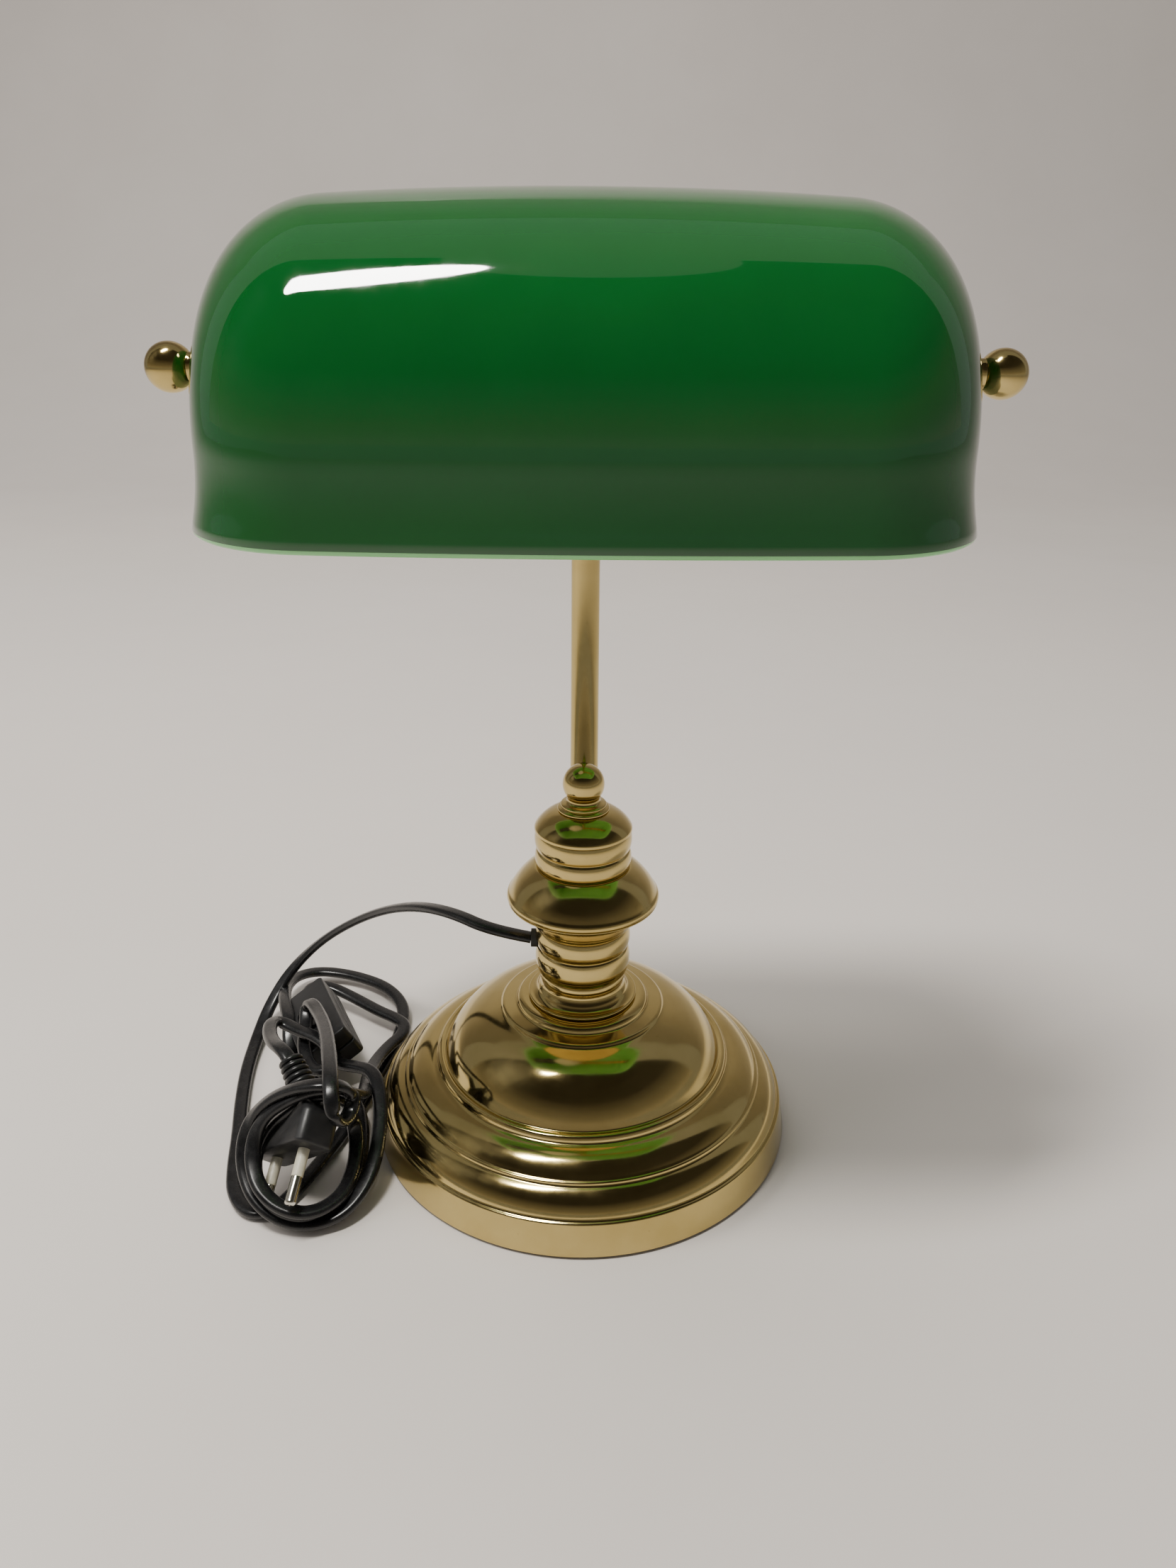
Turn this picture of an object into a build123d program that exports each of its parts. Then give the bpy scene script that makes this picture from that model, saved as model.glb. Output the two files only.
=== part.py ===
from build123d import *
from math import asin, degrees, pi, tan
import os

os.makedirs("parts", exist_ok=True)

# Banker's desk lamp. Millimetres. +Z up, +X to the lamp's right, -Y to the user.
# Origin: on the table, under the middle of the round base.

# ---- driving dimensions ----
base_radius = 77.0          # round spun base
sheet = 1.0                 # wall of the spun brass pieces
felt_height = 1.6
plate_height = 1.4
rod_radius = 5.0            # M10 threaded pipe and bent arm tube
rod_bore = 3.6
fit_gap = 0.05              # radial gap round rods and studs
cone_radius = 26.7
column_foot = 53.4          # top plate of the base, where the column starts
neck_top = 64.3
collar_top = 82.4
cone_middle = 93.9
cone_top = 106.6
cap_bottom = 120.1
cap_top = 127.6
finial_ball_radius = 7.2
finial_ball_height = 137.1
arm_back = 38.0             # how far behind the column the arm stands
arm_sweep_radius = 210.0    # the long backward curve of the arm
arm_sweep_height = 205.0    # where that curve is upright
arm_bend_radius = 40.0      # the bend forward under the shade
arm_top = 280.0
knob_y = -8.2               # the shade's tilt axis runs along X through here
knob_z = 271.0
shade_end = 108.8           # half width at the domed ends
shade_half_depth = 65.0
shade_skirt = 22.5          # straight part under the half-round top
shade_bottom = 231.0
shade_flare = 9.5           # degrees, how the skirt opens downwards
glass_wall = 3.5
crown_radius = 1200.0       # outline of the glass along its length
shoulder_radius = 36.5
dome_radius = 155.0
knob_ball_radius = 7.2
stud_radius = 2.0           # M4
screw_m6 = 3.0              # finial stud and hub screw
arm_lead_radius = 2.6       # lead inside the arm tube
holder_lead_radius = 1.8
cord_radius = 2.2
cord_exit_z = 76.0
bush_radius = 3.35          # rubber bush where the lead leaves the column


def save(part, name):
    part.label = name
    export_step(part, f"parts/{name}.step")


def draw(points, sagittas):
    """Draws lines, or arcs that swell to the right by the sagitta, from point to point."""
    for start, end, sag in zip(points, points[1:], sagittas):
        if sag:
            SagittaArc(start, end, -sag)
        else:
            Line(start, end)


def turned(name, points, sagittas=None, cut=None):
    """A closed half profile (radius, height) turned round the Z axis, less an optional cut."""
    loop = points + points[:1]
    bends = (sagittas or []) + [0] * (len(loop) - 1 - len(sagittas or []))
    with BuildPart() as piece:
        with BuildSketch(Plane.XZ):
            with BuildLine():
                draw(loop, bends)
            make_face()
        revolve(axis=Axis.Z)
        if cut:
            add(cut, mode=Mode.SUBTRACT)
    save(piece.part, name)


def arc_radii(points):
    """0.45 of the shorter run over the tangent of half the turn, for each corner."""
    radii = []
    for before, corner, after in zip(points, points[1:], points[2:]):
        run_in = Vector(corner) - Vector(before)
        run_out = Vector(after) - Vector(corner)
        turn = run_in.get_angle(run_out) * pi / 180
        radii.append(0.45 * min(run_in.length, run_out.length) / tan(turn / 2))
    return radii


# ---- base ----
rim_bottom = 1.0
outline = [
    (base_radius, rim_bottom),
    (base_radius - 1.8, 12.2),
    (base_radius - 3.2, 13.4),
    (66.2, 21.4),
    (65.2, 22.6),
    (55.2, 28.2),
    (54.0, 29.9),
    (51.0, 30.4),
    (31.0, 48.8),
    (29.4, 50.4),
    (24.0, 50.9),
    (22.0, column_foot),
    (rod_radius + fit_gap, column_foot),
]
outline_bulge = [0, 0.5, 1.4, 0.5, 1.2, -0.4, 0.8, 3.4, -0.4, 0, 0.6, 0]
inside = [(r - sheet, z - sheet) for r, z in outline]
inside[0] = (inside[0][0], rim_bottom)
inside[-1] = (rod_radius + fit_gap, column_foot - sheet)

with BuildPart() as base_shell:
    with BuildSketch(Plane.XZ):
        with BuildLine():
            draw(outline, outline_bulge)
            Line(outline[-1], inside[-1])
            draw(inside, outline_bulge)
            Line(inside[0], outline[0])
        make_face()
    revolve(axis=Axis.Z)
save(base_shell.part, "base_shell")

plate_top = felt_height + plate_height
pad_radius = base_radius - 2.5
plate_radius = base_radius - 1.6
nut_hole = 12.0             # way to the stem nut from below
turned("felt_pad", [(nut_hole, 0), (pad_radius, 0), (pad_radius, felt_height), (nut_hole, felt_height)])
turned("base_plate", [
    (nut_hole + 0.5, felt_height), (plate_radius, felt_height), (plate_radius, plate_top),
    (nut_hole + 0.5, plate_top),
])
weight_seat = 14.0          # the washer under the weight ends here
weight_top = 40.0
turned("base_weight", [
    (24.0, plate_top), (66.0, plate_top), (66.0, 9.0), (56.0, 15.0), (43.0, 22.0), (26.0, weight_top),
    (rod_radius + fit_gap, weight_top), (rod_radius + fit_gap, weight_seat), (24.0, weight_seat),
])

# ---- arm: one long backward curve, then a bend forward under the shade ----
arm_start_drop = 103.0      # how far the curved part reaches down from its upright point
arm_start_angle = degrees(asin(arm_start_drop / arm_sweep_radius))
arm_upright = arm_top - arm_bend_radius
with BuildLine(Plane.YZ) as arm_path:
    sweep_centre = (arm_back - arm_sweep_radius, arm_sweep_height)
    CenterArc(sweep_centre, arm_sweep_radius, -arm_start_angle, arm_start_angle)
    Line((arm_back, arm_sweep_height), (arm_back, arm_upright))
    CenterArc((arm_back - arm_bend_radius, arm_upright), arm_bend_radius, 0, 90)
    Line((arm_back - arm_bend_radius, arm_top), (arm_back - arm_bend_radius - 7.0, arm_top))
arm_wire = arm_path.wire()


def along_arm(outer, inner):
    """A round bar or tube that follows the arm's centre line."""
    with BuildPart() as piece:
        with BuildSketch(Plane(origin=arm_wire @ 0, z_dir=arm_wire % 0)):
            Circle(outer)
            if inner:
                Circle(inner, mode=Mode.SUBTRACT)
        sweep(path=arm_wire)
    return piece


arm_tube = along_arm(rod_radius, rod_bore)
save(arm_tube.part, "arm_tube")
arm_lead = along_arm(arm_lead_radius, 0)
save(arm_lead.part, "arm_lead")
arm_hole = along_arm(rod_radius + fit_gap, 0)

# ---- column ----
rod_foot = 4.0
rod_length = 99.5
with BuildPart() as stem_rod:
    with BuildSketch(Plane.XY.offset(rod_foot)):
        Circle(rod_radius)
        Circle(rod_bore, mode=Mode.SUBTRACT)
    extrude(amount=rod_length)
save(stem_rod.part, "stem_rod")

washer_foot = weight_seat - 1.2
washer_radius = 11.0
turned("stem_washer", [
    (rod_radius + fit_gap, washer_foot), (washer_radius, washer_foot), (washer_radius, weight_seat),
    (rod_radius + fit_gap, weight_seat),
])
nut_height = 6.0
nut_corner = 9.2            # half the width across the corners
with BuildPart() as stem_nut:
    with BuildSketch(Plane.XY.offset(washer_foot - nut_height)):
        RegularPolygon(radius=nut_corner, side_count=6)
        Circle(rod_radius, mode=Mode.SUBTRACT)
    extrude(amount=nut_height)
save(stem_nut.part, "stem_nut")

turned(
    "neck_ring",
    [
        (rod_radius + fit_gap, column_foot), (19.0, column_foot), (19.6, 55.0), (16.0, 57.0), (14.6, 60.0),
        (15.4, 63.0), (14.0, neck_top), (rod_radius + fit_gap, neck_top),
    ],
    [0, 0.4, -0.8, -0.4, 0.4, 0.3],
)

ring_split = 74.3           # groove round the middle of the lower collar
with BuildPart() as lower_collar:
    with BuildSketch(Plane.XZ):
        with BuildLine():
            draw(
                [
                    (14.4, neck_top), (16.0, neck_top), (16.4, ring_split - 0.6), (15.8, ring_split),
                    (16.4, ring_split + 0.6), (16.2, collar_top), (rod_radius + fit_gap, collar_top),
                    (rod_radius + fit_gap, collar_top - 2.0), (14.4, collar_top - 2.0), (14.4, neck_top),
                ],
                [0, 0.9, 0, 0, 0.8, 0, 0, 0, 0],
            )
        make_face()
    revolve(axis=Axis.Z)
    with BuildSketch(Plane.YZ.offset(-10.0)):
        with Locations((0, cord_exit_z)):
            Circle(bush_radius + fit_gap)
    extrude(amount=-12.0, mode=Mode.SUBTRACT)
save(lower_collar.part, "lower_collar")

bush_length = 5.6
with BuildPart() as cord_bush:
    with BuildSketch(Plane.YZ.offset(-13.0)):
        with Locations((0, cord_exit_z)):
            Circle(bush_radius)
            Circle(cord_radius, mode=Mode.SUBTRACT)
    extrude(amount=-bush_length)
save(cord_bush.part, "cord_bush")

turned(
    "lower_cone",
    [
        (rod_radius + fit_gap, collar_top), (16.2, collar_top), (17.6, 85.0),
        (cone_radius - 0.4, cone_middle - 0.8), (cone_radius, cone_middle), (cone_radius - 1.2, cone_middle),
        (17.0, 86.2), (15.4, collar_top + sheet), (rod_radius + fit_gap, collar_top + sheet),
    ],
    [0, 0.3, -0.6, 0.2, 0, 0.6, 0, 0],
)
turned(
    "upper_cone",
    [
        (cone_radius - 1.2, cone_middle), (cone_radius, cone_middle), (cone_radius - 0.6, cone_middle + 2.6),
        (17.0, cone_top), (13.0, cone_top), (13.0, cone_top - sheet), (15.8, cone_top - sheet),
        (cone_radius - 2.0, cone_middle + 2.2),
    ],
    [0, 0.5, 1.0, 0, 0, 0, -0.9, -0.3],
    cut=arm_hole.part,
)
with BuildPart() as upper_collar:
    with BuildSketch(Plane.XZ):
        with BuildLine():
            draw(
                [
                    (14.6, cone_top), (16.2, cone_top), (16.4, 112.6), (15.8, 113.2), (16.4, 113.8),
                    (16.4, cap_bottom), (14.6, cap_bottom), (14.6, cone_top),
                ],
                [0, 0.6, 0, 0, 0.6, 0, 0],
            )
        make_face()
    revolve(axis=Axis.Z)
    add(arm_hole.part, mode=Mode.SUBTRACT)
save(upper_collar.part, "upper_collar")

with BuildPart() as arm_socket:
    with BuildSketch(Plane.XZ):
        with BuildLine():
            Polyline(
                (0, 98.0), (12.8, 98.0), (12.8, cone_top), (14.4, cone_top), (14.4, 109.0),
                (13.4, 109.0), (13.4, cap_bottom - 0.4), (0, cap_bottom - 0.4), close=True,
            )
        make_face()
    revolve(axis=Axis.Z)
    add(arm_hole.part, mode=Mode.SUBTRACT)
    with BuildSketch(Plane.XY.offset(97.0)):
        Circle(rod_radius + fit_gap)
    extrude(amount=8.0, mode=Mode.SUBTRACT)
    with BuildSketch(Plane.XY.offset(112.0)):
        Circle(screw_m6 + fit_gap)
    extrude(amount=10.0, mode=Mode.SUBTRACT)
save(arm_socket.part, "arm_socket")

with BuildPart() as cap_dome:
    with BuildSketch(Plane.XZ):
        with BuildLine():
            draw(
                [
                    (15.9, cap_bottom), (17.0, cap_bottom), (17.0, cap_bottom + 1.2), (8.8, cap_top),
                    (3.2, cap_top), (3.2, cap_top - sheet), (8.4, cap_top - sheet),
                    (15.9, cap_bottom + 1.0), (15.9, cap_bottom),
                ],
                [0, 0, 1.0, 0, 0, 0, -0.9, 0],
            )
        make_face()
    revolve(axis=Axis.Z)
    add(arm_hole.part, mode=Mode.SUBTRACT)
save(cap_dome.part, "cap_dome")

finial_stud_foot = 113.0
finial_stud_length = 21.0
with BuildPart() as finial_stud:
    with BuildSketch(Plane.XY.offset(finial_stud_foot)):
        Circle(screw_m6)
    extrude(amount=finial_stud_length)
save(finial_stud.part, "finial_stud")

with BuildPart() as finial:
    with BuildSketch(Plane.XZ):
        with BuildLine():
            draw(
                [
                    (0, cap_top), (8.7, cap_top), (8.7, cap_top + 1.2), (7.6, cap_top + 1.6),
                    (7.6, cap_top + 2.6), (6.4, cap_top + 3.0), (5.6, cap_top + 4.4), (0, cap_top + 4.4),
                    (0, cap_top),
                ],
                [0, 0.3, 0, 0.3, 0, -0.3, 0, 0],
            )
        make_face()
    revolve(axis=Axis.Z)
    with Locations((0, 0, finial_ball_height)):
        Sphere(finial_ball_radius)
    with BuildSketch(Plane.XY.offset(cap_top)):
        Circle(screw_m6 + fit_gap)
    extrude(amount=finial_stud_foot + finial_stud_length - cap_top + 0.2, mode=Mode.SUBTRACT)
save(finial.part, "finial")

# ---- head: hub, strip bracket, studs ----
hub_size = 16.0
hub_back = -2.0
hub_front = hub_back - hub_size
hub_top = arm_top + hub_size / 2
hub_screw_y = -13.4         # in front of the tube's end
with BuildPart() as arm_hub:
    with BuildSketch(Plane.XZ.offset(-hub_back)):
        with Locations((0, arm_top)):
            RectangleRounded(hub_size, hub_size, 2.5)
    extrude(amount=hub_back - hub_front)
    with BuildSketch(Plane.XZ.offset(-hub_back)):
        with Locations((0, arm_top)):
            Circle(rod_radius + fit_gap)
    extrude(amount=8.2, mode=Mode.SUBTRACT)
    with BuildSketch(Plane.XY.offset(hub_top)):
        with Locations((0, hub_screw_y)):
            Circle(screw_m6 + fit_gap)
    extrude(amount=-10.0, mode=Mode.SUBTRACT)
save(arm_hub.part, "arm_hub")

strip = 1.5
strip_width = 14.0
leg_x = 101.2               # middle of the strip's legs
leg_foot = 262.0            # right leg
holder_z = 254.0            # axis of the lamp holder and bulb
strip_z = hub_top + strip / 2
with BuildPart() as shade_bracket:
    with BuildSketch(Plane.XZ.offset(-knob_y - strip_width / 2)):
        with BuildLine():
            FilletPolyline(
                (-leg_x, holder_z - 7.0), (-leg_x, strip_z), (leg_x, strip_z), (leg_x, leg_foot), radius=12.0,
            )
        trace(line_width=strip)
    extrude(amount=strip_width)
    with BuildSketch(Plane.YZ.offset(-leg_x - 4.0)):
        with Locations((knob_y, knob_z), (knob_y, holder_z)):
            Circle(stud_radius + fit_gap)
    extrude(amount=2 * leg_x + 8.0, mode=Mode.SUBTRACT)
    with BuildSketch(Plane.XY.offset(hub_top - 2.0)):
        with Locations((0, hub_screw_y)):
            Circle(screw_m6 + fit_gap)
    extrude(amount=5.0, mode=Mode.SUBTRACT)
save(shade_bracket.part, "shade_bracket")

hub_screw_head = 5.2
hub_screw_height = 3.2
with BuildPart() as hub_screw:
    with BuildSketch(Plane.XY.offset(hub_top + strip)):
        with Locations((0, hub_screw_y)):
            Circle(hub_screw_head)
    extrude(amount=hub_screw_height)
    with BuildSketch(Plane.XY.offset(hub_top + strip)):
        with Locations((0, hub_screw_y)):
            Circle(screw_m6)
    extrude(amount=-9.0)
    with BuildSketch(Plane.XY.offset(hub_top + strip + hub_screw_height)):
        with Locations((0, hub_screw_y)):
            Rectangle(12.0, 1.2)
    extrude(amount=-1.4, mode=Mode.SUBTRACT)
save(hub_screw.part, "hub_screw")

leg_inner = leg_x - strip / 2
leg_outer = leg_x + strip / 2
stud_tip = 117.5
stud_inside = 4.4           # stud end inside the leg
nut_m4 = 3.9                # half the width across the corners
with BuildPart() as shade_studs:
    for side in (-1, 1):
        with BuildSketch(Plane.YZ.offset(side * (leg_inner - stud_inside))):
            with Locations((knob_y, knob_z)):
                Circle(stud_radius)
        extrude(amount=side * (stud_tip - leg_inner + stud_inside))
save(shade_studs.part, "shade_studs")

with BuildPart() as stud_nuts:
    for side in (-1, 1):
        with BuildSketch(Plane.YZ.offset(side * leg_inner)):
            with Locations((knob_y, knob_z)):
                RegularPolygon(radius=nut_m4, side_count=6)
                Circle(stud_radius, mode=Mode.SUBTRACT)
        extrude(amount=-side * 3.2)
save(stud_nuts.part, "stud_nuts")

# ---- knobs: a ball, a short neck and a flange, turned in one piece ----
seat_x = 106.8              # ground seat on the outside of the glass
flange_x = seat_x + 1.3
ball_x = 119.9
knob_neck = 4.4
neck_end = ball_x - (knob_ball_radius ** 2 - knob_neck ** 2) ** 0.5


def knob(name, side):
    with BuildPart() as piece:
        with BuildSketch(Plane.XY):
            with BuildLine():
                draw(
                    [
                        (flange_x, 0), (flange_x, 5.8), (flange_x + 1.4, 5.8), (flange_x + 2.0, 5.0),
                        (flange_x + 3.2, 5.0), (neck_end, knob_neck), (neck_end, 0), (flange_x, 0),
                    ],
                    [0, 0, 0, 0, 0.3, 0, 0],
                )
            make_face()
        revolve(axis=Axis.X)
        with Locations((ball_x, 0, 0)):
            Sphere(knob_ball_radius)
        with BuildSketch(Plane.YZ.offset(flange_x - 1.0)):
            Circle(stud_radius + fit_gap)
        extrude(amount=stud_tip + 1.5 - flange_x, mode=Mode.SUBTRACT)
    placed = piece.part if side > 0 else mirror(piece.part, about=Plane.YZ)
    save(Pos(0, knob_y, knob_z) * placed, name)


knob("knob_right", 1)
knob("knob_left", -1)

# ---- glass shade: a half-round body turned about X, on a flared skirt ----
axis_z = shade_bottom + shade_skirt


def outline_arcs(inset):
    """End, shoulder and crown arcs of the glass outline, tangent to one another."""
    end_r = dome_radius - inset
    shoulder_r = shoulder_radius - inset
    crown_r = crown_radius - inset
    end_centre = Vector(shade_end - dome_radius, 0)
    crown_centre = Vector(0, shade_half_depth - crown_radius)
    reach = (crown_centre - end_centre).length
    side_a = end_r - shoulder_r
    side_b = crown_r - shoulder_r
    along = (side_a ** 2 - side_b ** 2 + reach ** 2) / (2 * reach)
    across = (side_a ** 2 - along ** 2) ** 0.5
    unit = (crown_centre - end_centre) / reach
    normal = Vector(unit.Y, -unit.X)
    if normal.Y < 0:
        normal = -normal
    shoulder_centre = end_centre + unit * along + normal * across
    to_end = (shoulder_centre - end_centre).normalized()
    to_crown = (shoulder_centre - crown_centre).normalized()
    end_point = end_centre + Vector(end_r, 0)
    touch_end = end_centre + to_end * end_r
    touch_crown = crown_centre + to_crown * crown_r
    top_point = crown_centre + Vector(0, crown_r)
    half_end = (to_end + Vector(1, 0)).normalized()
    half_shoulder = (to_end + to_crown).normalized()
    half_crown = (to_crown + Vector(0, 1)).normalized()
    return [
        (end_point, end_centre + half_end * end_r, touch_end),
        (touch_end, shoulder_centre + half_shoulder * shoulder_r, touch_crown),
        (touch_crown, crown_centre + half_crown * crown_r, top_point),
    ]


def draw_outline(inset, quarters):
    """Draws the outline's arcs in the given quarters, each a pair of signs (x, y)."""
    for sx, sy in quarters:
        for arc in outline_arcs(inset):
            ThreePointArc(*[(p.X * sx, p.Y * sy) for p in arc])


def glass_body(inset):
    """The solid inside the outline: half-round top and flared skirt."""
    with BuildPart() as body:
        with BuildSketch(Plane.XY):
            with BuildLine():
                draw_outline(inset, [(1, 1), (-1, 1)])
                Line((shade_end - inset, 0), (inset - shade_end, 0))
            make_face()
        revolve(axis=Axis.X, revolution_arc=180)
        with BuildSketch(Plane.XY):
            with BuildLine():
                draw_outline(inset, [(1, 1), (-1, 1), (-1, -1), (1, -1)])
            make_face()
        extrude(amount=-shade_skirt, taper=-shade_flare)
    return body.part


outer_glass = Pos(0, knob_y, axis_z) * glass_body(0)
inner_glass = Pos(0, knob_y, axis_z) * glass_body(glass_wall)
seat_radius = 8.0
glass_hole = 5.0
with BuildPart() as glass_shade:
    add(outer_glass)
    add(inner_glass, mode=Mode.SUBTRACT)
    for side in (-1, 1):
        with BuildSketch(Plane.YZ.offset(side * seat_x)):
            with Locations((knob_y, knob_z)):
                Circle(seat_radius)
        extrude(amount=side * 6.0, mode=Mode.SUBTRACT)
        with BuildSketch(Plane.YZ.offset(side * (seat_x - 3.0))):
            with Locations((knob_y, knob_z)):
                Circle(seat_radius)
        extrude(amount=-side * 6.0, mode=Mode.SUBTRACT)
        with BuildSketch(Plane.YZ.offset(side * 90.0)):
            with Locations((knob_y, knob_z)):
                Circle(glass_hole)
        extrude(amount=side * 30.0, mode=Mode.SUBTRACT)
print("glass volume", round(glass_shade.part.volume))
save(glass_shade.part, "glass_shade")

washer_width = 5.6
for name, near, thick in (("outer_washers", seat_x, 1.1), ("inner_washers", leg_outer + 0.2, 1.5)):
    with BuildPart() as washers:
        for side in (-1, 1):
            with BuildSketch(Plane.YZ.offset(side * near)):
                with Locations((knob_y, knob_z)):
                    Circle(washer_width)
                    Circle(stud_radius + 0.3, mode=Mode.SUBTRACT)
            extrude(amount=side * thick)
    save(washers.part, name)

# ---- lamp holder and bulb, lying along X ----
holder_back = -98.0
holder_mouth = -54.0
bulb_tip = -80.0
bulb_radius = 22.5
bulb_centre = -26.5


def turned_x(name, points, sagittas=None):
    """A closed half profile (x, radius) turned round the lamp holder's axis."""
    loop = points + points[:1]
    bends = (sagittas or []) + [0] * (len(loop) - 1 - len(sagittas or []))
    with BuildPart() as piece:
        with BuildSketch(Plane.XY):
            with BuildLine():
                draw(loop, bends)
            make_face()
        revolve(axis=Axis.X)
    save(Pos(0, knob_y, holder_z) * piece.part, name)


turned_x("holder_shell", [
    (holder_back, stud_radius), (holder_back, 11.5), (holder_back + 1.5, 12.6), (holder_mouth, 12.6),
    (holder_mouth, 11.2), (holder_back + 3.0, 11.2), (holder_back + 3.0, stud_radius),
])
turned_x("holder_insert", [
    (-94.8, 0), (-94.8, 11.1), (-84.0, 11.1), (-84.0, 9.2), (-87.0, 9.2), (-87.0, 0),
])
turned_x("holder_sleeve", [(-86.8, 7.4), (-86.8, 8.2), (-58.0, 8.2), (-58.0, 7.4)])
turned_x("holder_contact", [(-86.9, 0), (-86.9, 3.0), (-82.0, 1.6), (-80.3, 1.6), (-80.3, 0)])
turned_x("holder_ring", [(-66.0, 12.7), (-66.0, 15.5), (-62.6, 15.5), (-62.6, 12.7)])
turned_x("holder_screw", [
    (-leg_outer - 1.4, 0), (-leg_outer - 1.4, 3.2), (-leg_outer, 3.8), (-leg_outer, stud_radius),
    (-95.0, stud_radius), (-95.0, 0),
])
turned_x("bulb_cap", [
    (bulb_tip + 2.6, 2.4), (bulb_tip + 3.4, 6.6), (bulb_tip + 4.6, 7.0), (-53.0, 7.0), (-51.5, 9.4),
    (-49.5, 9.8), (-49.5, 9.2), (-51.0, 8.8), (-53.4, 6.4), (bulb_tip + 5.0, 6.4), (bulb_tip + 3.2, 2.4),
])
turned_x("bulb_tip_contact", [
    (bulb_tip, 0), (bulb_tip, 1.2), (bulb_tip + 1.2, 2.4), (bulb_tip + 3.4, 2.3), (bulb_tip + 3.4, 0),
])
bulb_back = bulb_centre - (bulb_radius ** 2 - 15.0 ** 2) ** 0.5
turned_x(
    "bulb_glass",
    [(-62.0, 0), (-62.0, 6.0), (-53.0, 6.0), (-50.0, 8.6), (bulb_back, 15.0),
     (bulb_centre, bulb_radius), (bulb_centre + bulb_radius, 0)],
    [0, 0, 0, 0.8, -1.96, -bulb_radius * (1 - 0.5 ** 0.5)],
)
# ---- lead from the hub over the bracket to the holder ----
holder_lead_route = [
    (-hub_size / 2 - 0.3, -13.0, arm_top), (-24.0, -14.0, 281.0), (-40.0, -15.5, 283.0),
    (-57.0, -15.5, 282.0), (-73.0, -14.0, 279.5), (-85.0, -11.5, 274.0), (-89.0, -9.0, 267.8),
]
with BuildLine() as holder_lead_path:
    FilletPolyline(*holder_lead_route, radius=arc_radii(holder_lead_route))
holder_lead_wire = holder_lead_path.wire()
with BuildPart() as holder_lead:
    with BuildSketch(Plane(origin=holder_lead_wire @ 0, z_dir=holder_lead_wire % 0)):
        Circle(holder_lead_radius)
    sweep(path=holder_lead_wire)
save(holder_lead.part, "holder_lead")

# ---- mains lead: free stretch, then a loose coil and loops beside the base ----
lead_route = [
    (-18.6, 0.0, cord_exit_z), (-33.0, 0.5, 78.5), (-48.0, 12.0, 79.0), (-64.0, 30.0, 71.5),
    (-81.0, 49.0, 58.5), (-98.0, 62.0, 44.5), (-114.0, 69.0, 30.5), (-127.0, 67.0, 17.5),
    (-134.0, 55.0, 7.5), (-135.5, 39.0, 3.0), (-134.5, 18.0, 2.4), (-131.0, -3.0, 2.4),
    (-127.0, -21.0, 2.4), (-124.0, -38.0, 2.4), (-120.5, -51.0, 2.4), (-113.0, -60.0, 2.4),
]
lead_radii = arc_radii(lead_route)
print("lead radii", [round(r, 1) for r in lead_radii])
with BuildLine() as lead_path:
    FilletPolyline(*lead_route, radius=lead_radii)
lead_wire = lead_path.wire()
with BuildPart() as cord_run:
    with BuildSketch(Plane(origin=lead_wire @ 0, z_dir=lead_wire % 0)):
        Circle(cord_radius)
    sweep(path=lead_wire)
print("lead length", round(lead_wire.length, 1), "volume ratio",
      round(cord_run.part.volume / (lead_wire.length * pi * cord_radius ** 2), 4))
save(cord_run.part, "cord_run")

coil_centre = (-105.0, -53.0, 22.4)
coil_plane = Plane(origin=coil_centre, x_dir=(1, 0, 0), z_dir=(0, -0.794, 0.608))
coil_radius = 21.0
coil_thickness = 5.6
with BuildPart(coil_plane) as cord_coil:
    Torus(major_radius=coil_radius, minor_radius=coil_thickness)
save(cord_coil.part, "cord_coil")

loops_centre = (-105.0, 31.0)
loops_size = (27.0, 46.0)
loops_width = 11.0          # band the loose loops lie in
loops_height = 16.0
with BuildPart() as cord_loops:
    with BuildSketch(Plane.XY.offset(0.4)):
        with Locations(loops_centre):
            Ellipse(*loops_size)
            Ellipse(loops_size[0] - loops_width, loops_size[1] - loops_width, mode=Mode.SUBTRACT)
    extrude(amount=loops_height)
save(cord_loops.part, "cord_loops")

# ---- in-line switch ----
switch_plane = Plane(origin=(-102.6, 30.1, 8.8), x_dir=(0.775, 0.395, 0.493), z_dir=(-0.48, -0.139, 0.866))
switch_length = 45.0
switch_width = 20.5
switch_half = 7.0
screw_places = ((6.0, 20.2), (-6.0, -20.2))
screw_radius = 1.4
screw_cover = 2.5           # plastic left over the screw tips
rocker_pivot = 10.0
rocker_pin_radius = 1.0
rocker_pin_length = 17.0


def switch_shell(name, low, high, slot):
    with BuildPart() as piece:
        with BuildSketch(switch_plane.offset(low)):
            RectangleRounded(switch_width, switch_length, 3.0)
        extrude(amount=high - low)
        with BuildSketch(switch_plane.offset(low if slot else low + 1.6)):
            RectangleRounded(switch_width - 3.2, switch_length - 9.0, 2.0)
        extrude(amount=switch_half - 1.6, mode=Mode.SUBTRACT)
        if slot:
            with BuildSketch(switch_plane.offset(low)):
                Rectangle(9.0, 18.6)
            extrude(amount=high, mode=Mode.SUBTRACT)
        with BuildSketch(switch_plane.offset(low)):
            with Locations(*screw_places):
                Circle(screw_radius)
        extrude(amount=switch_half - (screw_cover if slot else 0), mode=Mode.SUBTRACT)
    save(piece.part, name)


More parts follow.
